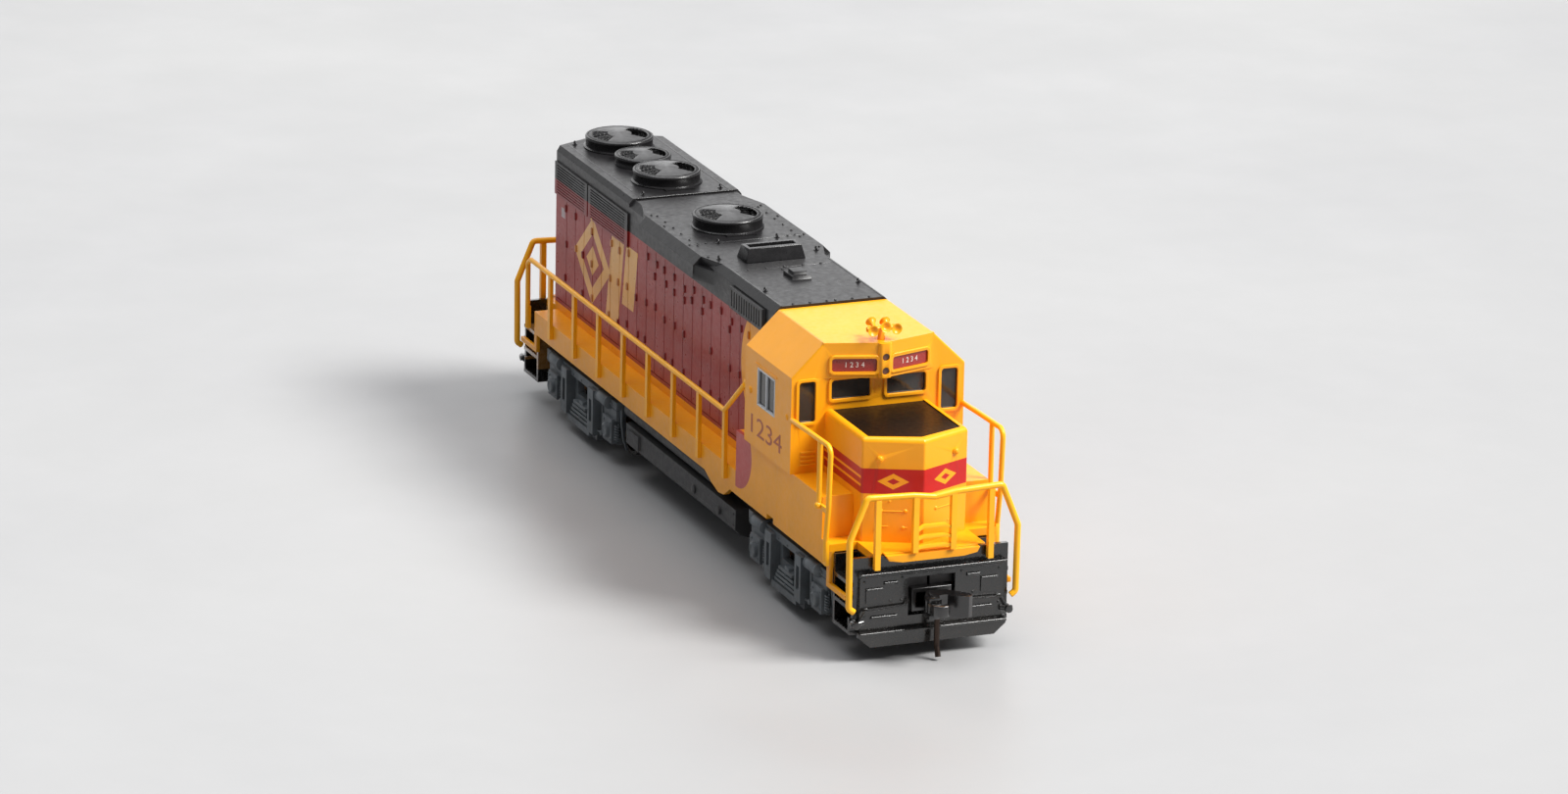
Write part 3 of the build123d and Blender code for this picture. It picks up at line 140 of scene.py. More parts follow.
class Surface:
    """One procedural material. Its places are in millimetres, in the piece's own frame."""

    def __init__(self, name, metal=0.0, specular=0.5, coat=0.0):
        self.material = bpy.data.materials.new(name)
        self.material.use_nodes = True
        self.tree = self.material.node_tree
        self.shader = self.tree.nodes["Principled BSDF"]
        self.shader.inputs["Metallic"].default_value = metal
        self.shader.inputs["Specular IOR Level"].default_value = specular
        self.shader.inputs["Coat Weight"].default_value = coat
        self.shader.inputs["Coat Roughness"].default_value = 0.25
        scale = self.node("ShaderNodeVectorMath", operation="SCALE")
        scale.inputs["Scale"].default_value = 1 / MM
        self.join(self.node("ShaderNodeTexCoord").outputs["Object"], scale.inputs[0])
        self.place = scale.outputs[0]
        split = self.node("ShaderNodeSeparateXYZ")
        self.join(self.place, split.inputs[0])
        self.x, self.y, self.z = split.outputs
        self.side = self.math("ABSOLUTE", self.y)

    def node(self, kind, **settings):
        made = self.tree.nodes.new(kind)
        for key, value in settings.items():
            setattr(made, key, value)
        return made

    def join(self, source, target):
        """Link a socket, or set a plain value."""
        if isinstance(source, bpy.types.NodeSocket):
            self.tree.links.new(source, target)
        else:
            target.default_value = source

    def math(self, operation, first, second=0.0):
        made = self.node("ShaderNodeMath", operation=operation)
        self.join(first, made.inputs[0])
        self.join(second, made.inputs[1])
        return made.outputs[0]

    def ramp(self, value, start, end, low=0.0, high=1.0):
        """Value mapped from start..end to low..high, and held at both ends."""
        made = self.node("ShaderNodeMapRange")
        for source, target in zip((value, start, end, low, high), made.inputs):
            self.join(source, target)
        return made.outputs[0]

    # masks are 1 inside their zone and 0 outside it
    def over(self, value, level, soft=0.02):
        return self.ramp(value, level - soft, level + soft)

    def under(self, value, level, soft=0.02):
        return self.ramp(value, level - soft, level + soft, 1.0, 0.0)

    def all_of(self, *masks):
        joined = masks[0]
        for mask in masks[1:]:
            joined = self.math("MULTIPLY", joined, mask)
        return joined

    def any_of(self, *masks):
        joined = masks[0]
        for mask in masks[1:]:
            joined = self.math("MAXIMUM", joined, mask)
        return joined

    def within(self, value, low, high, soft=0.02):
        return self.all_of(self.over(value, low, soft), self.under(value, high, soft))

    def disc(self, across, up, middle, radius, soft=0.03):
        a = self.math("SUBTRACT", across, middle[0])
        b = self.math("SUBTRACT", up, middle[1])
        far = self.math("SQRT", self.math("ADD", self.math("MULTIPLY", a, a), self.math("MULTIPLY", b, b)))
        return self.under(far, radius, soft)

    def diamond(self, across, up, middle, half_width, half_height, soft=0.02):
        a = self.math("ABSOLUTE", self.math("SUBTRACT", across, middle[0]))
        b = self.math("ABSOLUTE", self.math("SUBTRACT", up, middle[1]))
        far = self.math("ADD", self.math("DIVIDE", a, half_width), self.math("DIVIDE", b, half_height))
        return self.under(far, 1.0, soft / half_width)

    def slanted(self, across, up, low, high, bottom, top, slope):
        """A bar from low to high that leans forward by slope, between two heights."""
        climb = self.math("SUBTRACT", up, bottom)
        leaning = self.math("SUBTRACT", across, self.math("MULTIPLY", climb, slope))
        return self.all_of(self.within(leaning, low, high), self.within(up, bottom, top))

    def noise(self, scale, detail=3.0, stretch=None):
        """Noise from 0 to 1, with scale features in a millimetre."""
        place = self.place
        if stretch:
            bend = self.node("ShaderNodeVectorMath", operation="MULTIPLY")
            self.join(place, bend.inputs[0])
            bend.inputs[1].default_value = stretch
            place = bend.outputs[0]
        made = self.node("ShaderNodeTexNoise")
        made.inputs["Scale"].default_value = scale
        made.inputs["Detail"].default_value = detail
        made.inputs["Roughness"].default_value = 0.55
        self.join(place, made.inputs["Vector"])
        return made.outputs["Fac"]

    def mix(self, mask, first, second, blend="MIX"):
        """The first colour where the mask is 0 and the second where it is 1."""
        made = self.node("ShaderNodeMix", data_type="RGBA", blend_type=blend)
        self.join(mask, socket(made.inputs, "Factor_Float"))
        self.join(first, socket(made.inputs, "A_Color"))
        self.join(second, socket(made.inputs, "B_Color"))
        return socket(made.outputs, "Result_Color")

    def varied(self, colour, amount, scale):
        """The colour, lighter and darker in soft patches by the amount."""
        patches = self.ramp(self.noise(scale), 0.3, 0.7)
        darker = self.mix(1.0, colour, (1 - amount, 1 - amount, 1 - amount, 1.0), "MULTIPLY")
        lighter = self.mix(1.0, colour, (1 + amount, 1 + amount, 1 + amount, 1.0), "MULTIPLY")
        return self.mix(patches, darker, lighter)

    def grain(self, *layers):
        """Bump from layers of (height source, depth in millimetres)."""
        normal = None
        for height, depth in layers:
            made = self.node("ShaderNodeBump")
            made.inputs["Strength"].default_value = 1.0
            made.inputs["Distance"].default_value = depth * MM
            self.join(height, made.inputs["Height"])
            if normal is not None:
                self.join(normal, made.inputs["Normal"])
            normal = made.outputs["Normal"]
        self.join(normal, self.shader.inputs["Normal"])

    def finish(self, colour, rough, variation=0.05, patch=0.35, depth=0.004):
        """Colour with patches, roughness that varies about its middle, and a fine moulded grain."""
        self.join(self.varied(colour, variation, patch), self.shader.inputs["Base Color"])
        gloss = self.ramp(self.noise(1.7, 4.0), 0.3, 0.7, rough - 0.08, rough + 0.08)
        self.join(gloss, self.shader.inputs["Roughness"])
        self.grain((self.noise(7.0, 2.0), depth), (self.noise(0.8, 2.0), depth * 2))
        return self.material


def dusty(surface, colour, dust, low, high, most):
    """The colour with dust that gathers from the height high down to the height low."""
    share = surface.math("MULTIPLY", surface.ramp(surface.z, low, high, most, 0.0), surface.noise(1.3, 5.0))
    return surface.mix(share, colour, dust)


def hood_paint(name="hood paint", shade=1.0):
    """Maroon sides with a yellow base strip and a black roof, and a plain geometric emblem. A shade below 1
    makes a darker, redder copy, which is painted shade.
    """
    s = Surface(name, specular=0.35, coat=0.05)
    colour = s.mix(s.all_of(s.under(s.x, RADIATOR_FRONT), s.over(s.z, 24.55)), MAROON, DARK_RED)
    on_side = s.over(s.side, HOOD_SIDE - 0.3, 0.05)
    # emblem: a lozenge inside a lozenge, then two leaning bars
    outer = s.diamond(s.x, s.z, EMBLEM, 5.6, 5.0)
    gap = s.all_of(s.diamond(s.x, s.z, EMBLEM, 3.5, 3.1),
                   s.math("SUBTRACT", 1.0, s.diamond(s.x, s.z, EMBLEM, 1.9, 1.7)))
    bars = s.any_of(s.slanted(s.x, s.z, -28.4, -24.6, 15.0, 24.6, 0.16),
                    s.slanted(s.x, s.z, -23.5, -20.0, 17.6, 24.6, 0.16))
    emblem = s.any_of(s.all_of(outer, s.math("SUBTRACT", 1.0, gap)), bars)
    colour = s.mix(s.all_of(emblem, on_side), colour, TAN)
    # small pale panel high at the rear
    panel = s.all_of(s.within(s.x, -42.6, -41.5), s.within(s.z, 22.3, 23.4))
    colour = s.mix(s.all_of(panel, on_side), colour, display(176, 158, 160))
    colour = s.mix(s.all_of(s.disc(s.x, s.z, (19.5, 21.7), 7.7), on_side), colour, YELLOW)
    colour = s.mix(s.under(s.z, SIDE_STRIPE_Z), colour, YELLOW)
    colour = s.mix(s.over(s.z, ROOF_PAINT_Z), colour, ROOF_BLACK)
    # painted shade: the whole paint is darkened, with its green and blue darkened more
    if shade != 1.0:
        colour = s.mix(1.0, colour, (shade, shade * 0.72, shade * 0.72, 1.0), "MULTIPLY")
    return s.finish(colour, 0.34, variation=0.06, patch=0.22)


def yellow_paint(name, variation=0.04, colour=YELLOW):
    s = Surface(name, specular=0.4, coat=0.1)
    return s.finish(colour, 0.36, variation=variation, patch=0.2, depth=0.003)


def nose_paint():
    """Yellow with a red band, thin lines along the sides and a black anti-glare top."""
    s = Surface("nose paint", coat=0.05)
    ahead = s.over(s.x, NOSE_CORNER - 0.15)
    band = s.within(s.z, BAND_LOW, BAND_HIGH)
    lines = s.any_of(s.within(s.z, 17.12, 17.38), s.within(s.z, 17.98, 18.24))
    sides = s.all_of(band, s.math("SUBTRACT", 1.0, lines))
    red = s.any_of(s.all_of(band, ahead), sides)
    # two marks: a small lozenge on each front face
    lozenge = s.diamond(s.side, s.z, (2.9, 17.75), 1.5, 0.85)
    heart = s.diamond(s.side, s.z, (2.9, 17.75), 0.6, 0.34)
    mark = s.all_of(lozenge, s.math("SUBTRACT", 1.0, heart), ahead)
    colour = s.mix(red, YELLOW, BAND_RED)
    colour = s.mix(mark, colour, YELLOW)
    slope = (NOSE_TIP - NOSE_CORNER) / NOSE_SIDE
    reach = s.math("ADD", s.x, s.math("MULTIPLY", s.side, slope))
    top = s.all_of(s.over(s.z, NOSE_TOP - 0.2), s.under(s.z, NOSE_TOP - 0.06),
                   s.under(s.side, NOSE_SIDE - NOSE_RIM + 0.02), s.under(reach, NOSE_TIP - 0.86))
    colour = s.mix(top, colour, GLARE_BLACK)
    s.join(s.ramp(top, 0.0, 1.0, 0.45, 0.15), s.shader.inputs["Specular IOR Level"])
    return s.finish(colour, 0.36, variation=0.04, patch=0.2, depth=0.003)


def walkway_paint():
    """Yellow with a red patch at the rear of the battery boxes and dust low on the sills."""
    s = Surface("walkway paint", specular=0.4, coat=0.1)
    patch = s.all_of(s.disc(s.x, s.z, (17.9, 13.5), 4.0), s.over(s.x, 17.45), s.over(s.side, 8.9, 0.05))
    colour = s.mix(patch, YELLOW, PINK_RED)
    colour = dusty(s, colour, display(120, 82, 28), 8.0, 12.0, 0.25)
    return s.finish(colour, 0.38, variation=0.05, patch=0.2, depth=0.003)


def plastic(name, colour, rough, variation=0.12, dust=None, coat=0.0, depth=0.006):
    """Moulded plastic, with dust below a height if asked for."""
    s = Surface(name, specular=0.5, coat=coat)
    if dust:
        colour = dusty(s, colour, dust, 0.5, 8.5, 0.55)
    return s.finish(colour, rough, variation=variation, patch=0.6, depth=depth)


def pilot_plastic():
    """Glossy black, with the walls of the rear steps in a dark yellow-brown: their yellow paint, darkened as
    painted shade.
    """
    s = Surface("pilot plastic", specular=0.5, coat=1.0)
    s.shader.inputs["Coat Roughness"].default_value = 0.09
    # painted shade: the rear step walls get a darkened yellow, as if they lay in shadow
    shaded_step_walls = s.all_of(s.within(s.x, STEP_REAR, STEP_WALL), s.over(s.z, 4.3))
    colour = s.mix(shaded_step_walls, DEEP_BLACK, SHADED_STEP_YELLOW)
    colour = dusty(s, colour, display(92, 84, 76), 0.5, 8.5, 0.16)
    return s.finish(colour, 0.28, variation=0.12, patch=0.6, depth=0.001)


def metal(name, colour, rough, stretch=(1.0, 1.0, 1.0)):
    """Metal with brushed or turned streaks along the short axes of the stretch."""
    s = Surface(name, metal=1.0)
    streaks = s.noise(3.0, 4.0, stretch=stretch)
    s.join(s.mix(s.ramp(streaks, 0.3, 0.7), tuple(c * 0.72 for c in colour[:3]) + (1.0,), colour),
           s.shader.inputs["Base Color"])
    s.join(s.ramp(streaks, 0.3, 0.7, rough - 0.08, rough + 0.1), s.shader.inputs["Roughness"])
    s.grain((streaks, 0.004))
    return s.material


def glass(name, colour, through):
    """Clear moulded plastic with a slight waviness."""
    s = Surface(name, specular=0.6)
    s.shader.inputs["Transmission Weight"].default_value = through
    s.shader.inputs["IOR"].default_value = 1.49
    s.join(s.mix(s.ramp(s.noise(0.5), 0.35, 0.65), colour, tuple(c * 1.6 for c in colour[:3]) + (1.0,)),
           s.shader.inputs["Base Color"])
    s.join(s.ramp(s.noise(2.0, 4.0), 0.3, 0.7, 0.06, 0.13), s.shader.inputs["Roughness"])
    s.grain((s.noise(0.9, 2.0), 0.012))
    return s.material


def board_green():
    """Solder mask over thin tracks."""
    s = Surface("circuit board", specular=0.5, coat=0.4)
    tracks = s.over(s.math("SINE", s.math("MULTIPLY", s.y, 7.0)), 0.7, 0.1)
    colour = s.mix(s.math("MULTIPLY", tracks, 0.4), display(20, 74, 44), display(70, 130, 70))
    return s.finish(colour, 0.35)


MATERIALS = {
    "hood_paint": hood_paint(),
    "cab_paint": yellow_paint("cab paint"),
    "nose_paint": nose_paint(),
    "walkway_paint": walkway_paint(),
    "handrail_plastic": yellow_paint("handrail plastic", 0.06, RAIL_YELLOW),
    "pilot_plastic": pilot_plastic(),
    "tank_plastic": plastic("tank plastic", TANK_GREY, 0.5, dust=display(84, 84, 82)),
    "roof_plastic": plastic("roof plastic", ROOF_BLACK, 0.28, variation=0.1, coat=0.1, depth=0.002),
    # the glazing's dark tint is painted shade, standing in for the unlit cab interior behind clear glazing
    "glazing": glass("cab glazing with painted shade", display(70, 66, 62), 0.55),
    "lens": glass("headlight lens", display(96, 58, 40), 0.35),
    "board_paint": plastic("number board paint", display(150, 38, 26), 0.3, 0.08, coat=0.3, depth=0.002),
    "frame_metal": metal("frame metal", display(92, 90, 90), 0.5),
    "screw_steel": metal("screw steel", display(178, 176, 172), 0.3),
    "motor_steel": metal("motor steel", display(176, 176, 178), 0.32, (0.2, 3.0, 3.0)),
    "magnet": plastic("magnet ferrite", display(46, 44, 44), 0.6),
    "carbon": plastic("brush carbon", display(34, 33, 33), 0.55),
    "lamination": metal("armature lamination", display(120, 112, 106), 0.42, (14.0, 0.6, 0.6)),
    "copper": metal("commutator copper", display(196, 116, 78), 0.3, (6.0, 0.5, 0.5)),
    "flywheel_brass": metal("flywheel brass", display(204, 170, 96), 0.24, (9.0, 0.4, 0.4)),
    "worm_brass": metal("worm brass", display(198, 164, 92), 0.28, (9.0, 0.6, 0.6)),
    "bearing_bronze": metal("bearing bronze", display(168, 122, 74), 0.45),
    "board_green": board_green(),
    "coupler_plastic": plastic("coupler plastic", display(20, 18, 18), 0.2, coat=1.0, depth=0.001),
    "pin_steel": metal("trip pin steel", display(74, 62, 56), 0.4, (1.0, 1.0, 4.0)),
    "gearbox_plastic": plastic("gearbox plastic", DEEP_BLACK, 0.45),
    "pickup_bronze": metal("pickup bronze", display(176, 126, 76), 0.35),
    "truck_plastic": plastic("truck plastic", TRUCK_GREY, 0.46, 0.18, dust=display(96, 92, 84)),
    "gear_nylon": plastic("gear nylon", display(222, 216, 196), 0.4, 0.05),
    "wheel_metal": metal("wheel metal", display(112, 108, 104), 0.3, (1.0, 6.0, 1.0)),
}
OWN_MATERIAL = {"short_hood": "nose_paint"}
# the latches wear the hood paint darkened to 0.62, which is painted shade on the raised latches
SHADED_LATCH_PAINT = hood_paint("hood latch paint with painted shade", 0.62)
SILVER_PAINT = plastic("window frame silver", SILVER, 0.3, 0.06, coat=0.3, depth=0.002)
GASKET = plastic("window gasket", display(52, 38, 22), 0.5, 0.1)
PALE_PAINT = plastic("number board digits", OFF_WHITE, 0.4, 0.03, depth=0.001)
DIGIT_PAINT = plastic("cab side digits", display(176, 84, 44), 0.42, 0.12, depth=0.001)


# ---- pieces in mesh code, drawn in millimetres ----
def add_box(bm, low, high):
    """A box between two corners."""
    made = bmesh.ops.create_cube(bm, size=1.0)["verts"]
    middle = (Vector(low) + Vector(high)) / 2
    size = Vector(high) - Vector(low)
    bmesh.ops.scale(bm, vec=size, verts=made)
    bmesh.ops.translate(bm, vec=middle, verts=made)
    return made


def add_lathe(bm, base, axis, profile, steps=32):
    """A turned solid: (radius, height) points from end to end, about an axis from the base."""
    turn = Vector(axis).to_track_quat("Z", "Y").to_matrix().to_4x4()
    place = Matrix.Translation(Vector(base)) @ turn
    rings = []
    for radius, height in profile:
        if radius < 1e-6:
            rings.append([bm.verts.new(place @ Vector((0, 0, height)))])
        else:
            angles = [2 * pi * i / steps for i in range(steps)]
            circle = [Vector((radius * cos(a), radius * sin(a), height)) for a in angles]
            rings.append([bm.verts.new(place @ point) for point in circle])
    for near, far in zip(rings, rings[1:]):
        for i in range(steps):
            j = (i + 1) % steps
            loop = [near[i % len(near)], near[j % len(near)], far[j % len(far)], far[i % len(far)]]
            distinct = list(dict.fromkeys(loop))
            if len(distinct) > 2:
                bm.faces.new(distinct)
    for ring, reverse in ((rings[0], True), (rings[-1], False)):
        if len(ring) > 2:
            bm.faces.new(list(reversed(ring)) if reverse else ring)


def add_rod(bm, start, end, radius):
    """A round rod between two points."""
    axis = Vector(end) - Vector(start)
    add_lathe(bm, start, axis, [(radius, 0), (radius, axis.length)], 12)


def add_dome(bm, base, axis, radius, height, steps=12):
    """A rounded stud that stands on a face."""
    profile = [(radius * cos(a), height * sin(a)) for a in (0, pi / 8, pi / 4, 3 * pi / 8)]
    add_lathe(bm, base, axis, [(radius, -0.05)] + profile + [(0, height)], steps)


def add_tube(bm, points, radius, steps=10, closed=False):
    """A round wire through points, with mitred bends, open or closed to a loop."""
    places = [Vector(p) for p in points]
    last = len(places) - 1
    rings = []
    for i, place in enumerate(places):
        before = (place - places[i - 1]).normalized() if i or closed else None
        after = (places[(i + 1) % len(places)] - place).normalized() if i < last or closed else None
        along = ((before or after) + (after or before)).normalized()
        guide = Vector((0, 1, 0)) if abs(along.y) < 0.9 else Vector((0, 0, 1))
        u = along.cross(guide).normalized()
        v = along.cross(u).normalized()
        angles = [2 * pi * k / steps for k in range(steps)]
        rings.append([bm.verts.new(place + u * radius * cos(a) + v * radius * sin(a)) for a in angles])
    for near, far in zip(rings, rings[1:] + rings[:1] if closed else rings[1:]):
        for k in range(steps):
            n = (k + 1) % steps
            bm.faces.new([near[k], near[n], far[n], far[k]])
    if not closed:
        bm.faces.new(list(reversed(rings[0])))
        bm.faces.new(rings[-1])


def rounded_frame(centre, across, up, width, height, corner):
    """Points round a rectangle with rounded corners, on the plane of two directions."""
    across, up = Vector(across).normalized(), Vector(up).normalized()
    points = []
    for quarter, (sx, sy) in enumerate(((1, 1), (-1, 1), (-1, -1), (1, -1))):
        middle = Vector(centre) + across * sx * (width / 2 - corner) + up * sy * (height / 2 - corner)
        for step in range(4):
            angle = pi / 2 * quarter + pi / 6 * step
            points.append(middle + (across * cos(angle) + up * sin(angle)) * corner)
    return points


def soften(piece, width, angle=30):
    """Rounded edges, as on a moulding, by modifiers alone."""
    weld = piece.modifiers.new("weld", "WELD")
    weld.merge_threshold = 0.0005 * MM
    bevel = piece.modifiers.new("bevel", "BEVEL")
    bevel.width = width * MM
    bevel.segments = 2
    bevel.limit_method = "ANGLE"
    bevel.angle_limit = radians(angle)
    normals = piece.modifiers.new("normals", "WEIGHTED_NORMAL")
    normals.keep_sharp = False


def make(name, bm, material, body="chassis", bevel=0.0, sharp=35):
    """Turn a finished bmesh into a piece that rides on a body."""
    bmesh.ops.recalc_face_normals(bm, faces=bm.faces)
    bmesh.ops.scale(bm, vec=(MM, MM, MM), verts=bm.verts)
    mesh = bpy.data.meshes.new(name)
    bm.to_mesh(mesh)
    bm.free()
    mesh.shade_smooth()
    mesh.set_sharp_from_angle(angle=radians(sharp))
    piece = bpy.data.objects.new(name, mesh)
    bpy.context.scene.collection.objects.link(piece)
    mesh.materials.append(material)
    if bevel:
        soften(piece, bevel, sharp)
    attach(piece, body)
    return piece


def lettering(name, text, height, place, across, up, material, stretch):
    """Plain generic digits standing on a face, centred on a place."""
    curve = bpy.data.curves.new(name, "FONT")
    curve.body = text
    curve.size = 1.0
    curve.extrude = 0.5
    curve.align_x = "CENTER"
    curve.align_y = "CENTER"
    curve.resolution_u = 4
    source = bpy.data.objects.new(name + "_source", curve)
    mesh = bpy.data.meshes.new_from_object(source)
    bpy.data.objects.remove(source)
    across, up = Vector(across).normalized(), Vector(up).normalized()
    out = across.cross(up)
    tall = height / max(v.co.y for v in mesh.vertices) / 2
    turn = Matrix((across * tall * stretch, up * tall, out * DIGIT_DEPTH)).transposed()
    bm = bmesh.new()
    bm.from_mesh(mesh)
    bpy.data.meshes.remove(mesh)
    for vertex in bm.verts:
        vertex.co = turn @ vertex.co + Vector(place)
    return make(name, bm, material, sharp=20)


# ---- the CAD nodes' own finishes ----
SLOTS = {}
for part in frame["record"]["subparts"]:
    SLOTS[part["node"]] = part["material_slot"]
BEVELS = {"hood_shell": 0.08, "cab_shell": 0.07, "short_hood": 0.08, "walkway": 0.07, "fuel_tank": 0.1,
          "exhaust_stack": 0.07, "front_pilot": 0.12, "rear_pilot": 0.12, "right_handrail": 0.09,
          "left_handrail": 0.09, "end_handrails": 0.08, "cab_handrails": 0.08, "front_sideframes": 0.07,
          "rear_sideframes": 0.07, "front_coupler": 0.08, "rear_coupler": 0.08, "front_knuckle": 0.08,
          "rear_knuckle": 0.08, "coupler_boxes": 0.06, "number_boards": 0.03}
for name, node in frame["nodes"].items():
    node.data.materials.clear()
    node.data.materials.append(MATERIALS[OWN_MATERIAL.get(name, SLOTS[name])])
    if name in BEVELS:
        soften(node, BEVELS[name])


# ---- roof fans ----
def grille_plastic():
    """Black plastic with a turned finish, which draws a bright wedge across each grille."""
    s = Surface("fan grille plastic", specular=0.6, coat=0.1)
    s.shader.inputs["Anisotropic"].default_value = 0.75
    rings = s.node("ShaderNodeTangent", direction_type="RADIAL", axis="Z")
    s.join(rings.outputs["Tangent"], s.shader.inputs["Tangent"])
    return s.finish(ROOF_BLACK, 0.34, variation=0.1, patch=0.6, depth=0.001)


GRILLE_PLASTIC = grille_plastic()


def perforated_disc(bm, middle, outer, edge_z, centre_z):
    """A domed grille with rows of small holes on both sides, plain at the front and the back."""
    rows, count, hole_rows, plain_arc = 8, 40, (3, 4, 5, 6), radians(42)
    pitch = outer / rows
    centre = bm.verts.new((middle, 0, centre_z))
    grid = []
    for r in range(1, rows + 1):
        z = centre_z + (edge_z - centre_z) * (r / rows) ** 2
        turns = [2 * pi * k / count for k in range(count)]
        grid.append([bm.verts.new((middle + pitch * r * cos(t), pitch * r * sin(t), z)) for t in turns])
    for k in range(count):
        bm.faces.new([centre, grid[0][k], grid[0][(k + 1) % count]])
    holes = []
    for r in range(1, rows):
        cells = []
        for k in range(count):
            n = (k + 1) % count
            face = bm.faces.new([grid[r - 1][k], grid[r - 1][n], grid[r][n], grid[r][k]])
            if r in hole_rows and abs(cos(2 * pi * (k + 0.5) / count)) < cos(plain_arc):
                cells.append(face)
        cell_width = 2 * pi * pitch * (r + 0.5) / count
        bmesh.ops.inset_individual(bm, faces=cells, thickness=0.32 * min(pitch, cell_width))
        holes += cells
    bmesh.ops.delete(bm, geom=holes, context="FACES")


def build_fan(node, flare):
    """Tapered housing with a rounded rim, and a domed grille close above its floor."""
    low, high = corners(node)
    middle = (low.x + high.x) / 2
    foot = (high.x - low.x) / 2
    rim = foot - flare
    base, top = low.z, high.z
    tall = top - base
    bm = bmesh.new()
    wall = [(foot, 0), (foot, 0.12), (rim + 0.05, 0.22), (rim + 0.02, tall - 0.42), (rim + 0.09, tall - 0.34),
            (rim + 0.1, tall - 0.16), (rim + 0.04, tall - 0.04), (rim - 0.06, tall),
            (rim - 0.14, tall - 0.02), (rim - 0.17, tall - 0.3), (rim * 0.5, tall - 0.2), (0, tall - 0.16)]
    add_lathe(bm, (middle, 0, base), (0, 0, 1), wall, 72)
    # tab at the front of the foot
    add_box(bm, (middle + foot - 0.5, -1.7, base - 0.02), (middle + foot + 0.35, 1.7, base + 0.14))
    housing = make(node + "_housing", bm, MATERIALS["roof_plastic"], sharp=50)
    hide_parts(node)
    bm = bmesh.new()
    perforated_disc(bm, middle, rim - 0.12, top - 0.04, top + 0.22)
    grille = make(node + "_grille", bm, GRILLE_PLASTIC, sharp=50)
    thick = grille.modifiers.new("thickness", "SOLIDIFY")
    thick.thickness = 0.12 * MM
    thick.offset = -1


for fan_node, fan_flare in (("radiator_fan_rear", 0.28), ("radiator_fan_middle", 0.12),
                            ("radiator_fan_front", 0.28), ("brake_fan", 0.2)):
    build_fan(fan_node, fan_flare)


# ---- small roof details ----
def build_roof_details():
    """Lifting eyes, bolt heads and rivet rows, in rows mirrored about the middle."""
    bm = bmesh.new()
    eyes = [(-22.9, 4.55, RADIATOR_Z), (-3.4, 3.4, ROOF_Z), (2.4, 5.6, ROOF_Z), (14.9, 5.3, ROOF_Z),
            (-44.2, 4.5, RADIATOR_Z)]
    for x, y, z in eyes:
        for side in (-1, 1):
            add_lathe(bm, (x, side * y, z - 0.05), (0, 0, 1), [(0.3, 0), (0.3, 0.1), (0.2, 0.14)], 12)
            ring = [(x + 0.2 * cos(a), side * y, z + 0.2 + 0.2 * sin(a)) for a in
                    [pi * k / 4 for k in range(9)]]
            add_tube(bm, ring, 0.08, 8)
    studs = [(-11.1, 6.6), (-3.6, 6.6), (-3.6, 4.7), (-3.7, 5.6), (-15.5, 6.4), (1.3, 6.4), (8.1, 0.6)]
    studs += [(7.2, 0.05 + 2.05 * k) for k in range(3)]
    studs += [(20.3, 0.48 + 1.92 * k) for k in range(3)]
    studs += [(-15.0 + 2.4 * k, 5.9) for k in range(6)]
    for x, y in studs:
        for side in (-1, 1):
            add_dome(bm, (x, side * y, ROOF_Z), (0, 0, 1), 0.15, 0.14, 10)
    make("roof_details", bm, MATERIALS["roof_plastic"], sharp=60)
    # raised battens across and along the roof, and a rounded edge on the radiator step
    bm = bmesh.new()
    for x, reach in ((-15.0, 5.6), (-3.6, 6.9), (7.2, 5.5)):
        add_box(bm, (x - 0.08, -reach, ROOF_Z - 0.05), (x + 0.08, reach, ROOF_Z + 0.02))
    add_rod(bm, (RADIATOR_FRONT, -5.7, RADIATOR_Z - 0.04), (RADIATOR_FRONT, 5.7, RADIATOR_Z - 0.04), 0.12)
    for side in (-1, 1):
        add_box(bm, (5.6, side * 5.75 - 0.1, ROOF_Z - 0.05), (20.6, side * 5.75 + 0.1, ROOF_Z + 0.04))
        add_box(bm, (-44.6, side * 5.2 - 0.08, RADIATOR_Z - 0.05),
                (-22.3, side * 5.2 + 0.08, RADIATOR_Z + 0.03))
    make("roof_battens", bm, MATERIALS["roof_plastic"], bevel=0.03)


build_roof_details()


# ---- hood doors ----
def build_hood_details():
    """Rounded hinges and latches beside the door seams, in uneven rows, in hood paint darkened as painted
    shade, and grab irons.
    """
    rng = random.Random(35)
    bm = bmesh.new()
    for seam in DOOR_SEAMS:
        rows = (23.4, 19.6, 15.4) if seam < RADIATOR_FRONT else (24.9, 23.6, 19.8, 15.4)
        for z in rows:
            if rng.random() < 0.22:
                continue
            x = seam + rng.choice((-0.3, 0.0, 0.3))
            z += rng.uniform(-0.35, 0.35)
            for side in (-1, 1):
                near, far = sorted((side * (HOOD_SIDE - 0.1), side * (HOOD_SIDE + 0.16)))
                add_box(bm, (x - 0.25, near, z - 0.42), (x + 0.25, far, z + 0.42))
    make("hood_latches", bm, SHADED_LATCH_PAINT, bevel=0.12)
    # a ladder of grab irons on each tapered rear corner
    bm = bmesh.new()
    for side in (-1, 1):
        ends = [Vector((-44.8, side * 5.5, 0)), Vector((-45.9, side * 3.3, 0))]
        along = (ends[1] - ends[0]).normalized()
        out = Vector((-abs(along.y), side * abs(along.x), 0))
        for k in range(6):
            up = Vector((0, 0, 13.6 + 1.9 * k))
            add_tube(bm, [ends[0] + up - out * 0.2, ends[0] + up + out * 0.4,
                          ends[1] + up + out * 0.4, ends[1] + up - out * 0.2], 0.09, 8)
    make("rear_grab_irons", bm, MATERIALS["handrail_plastic"], sharp=60)


build_hood_details()


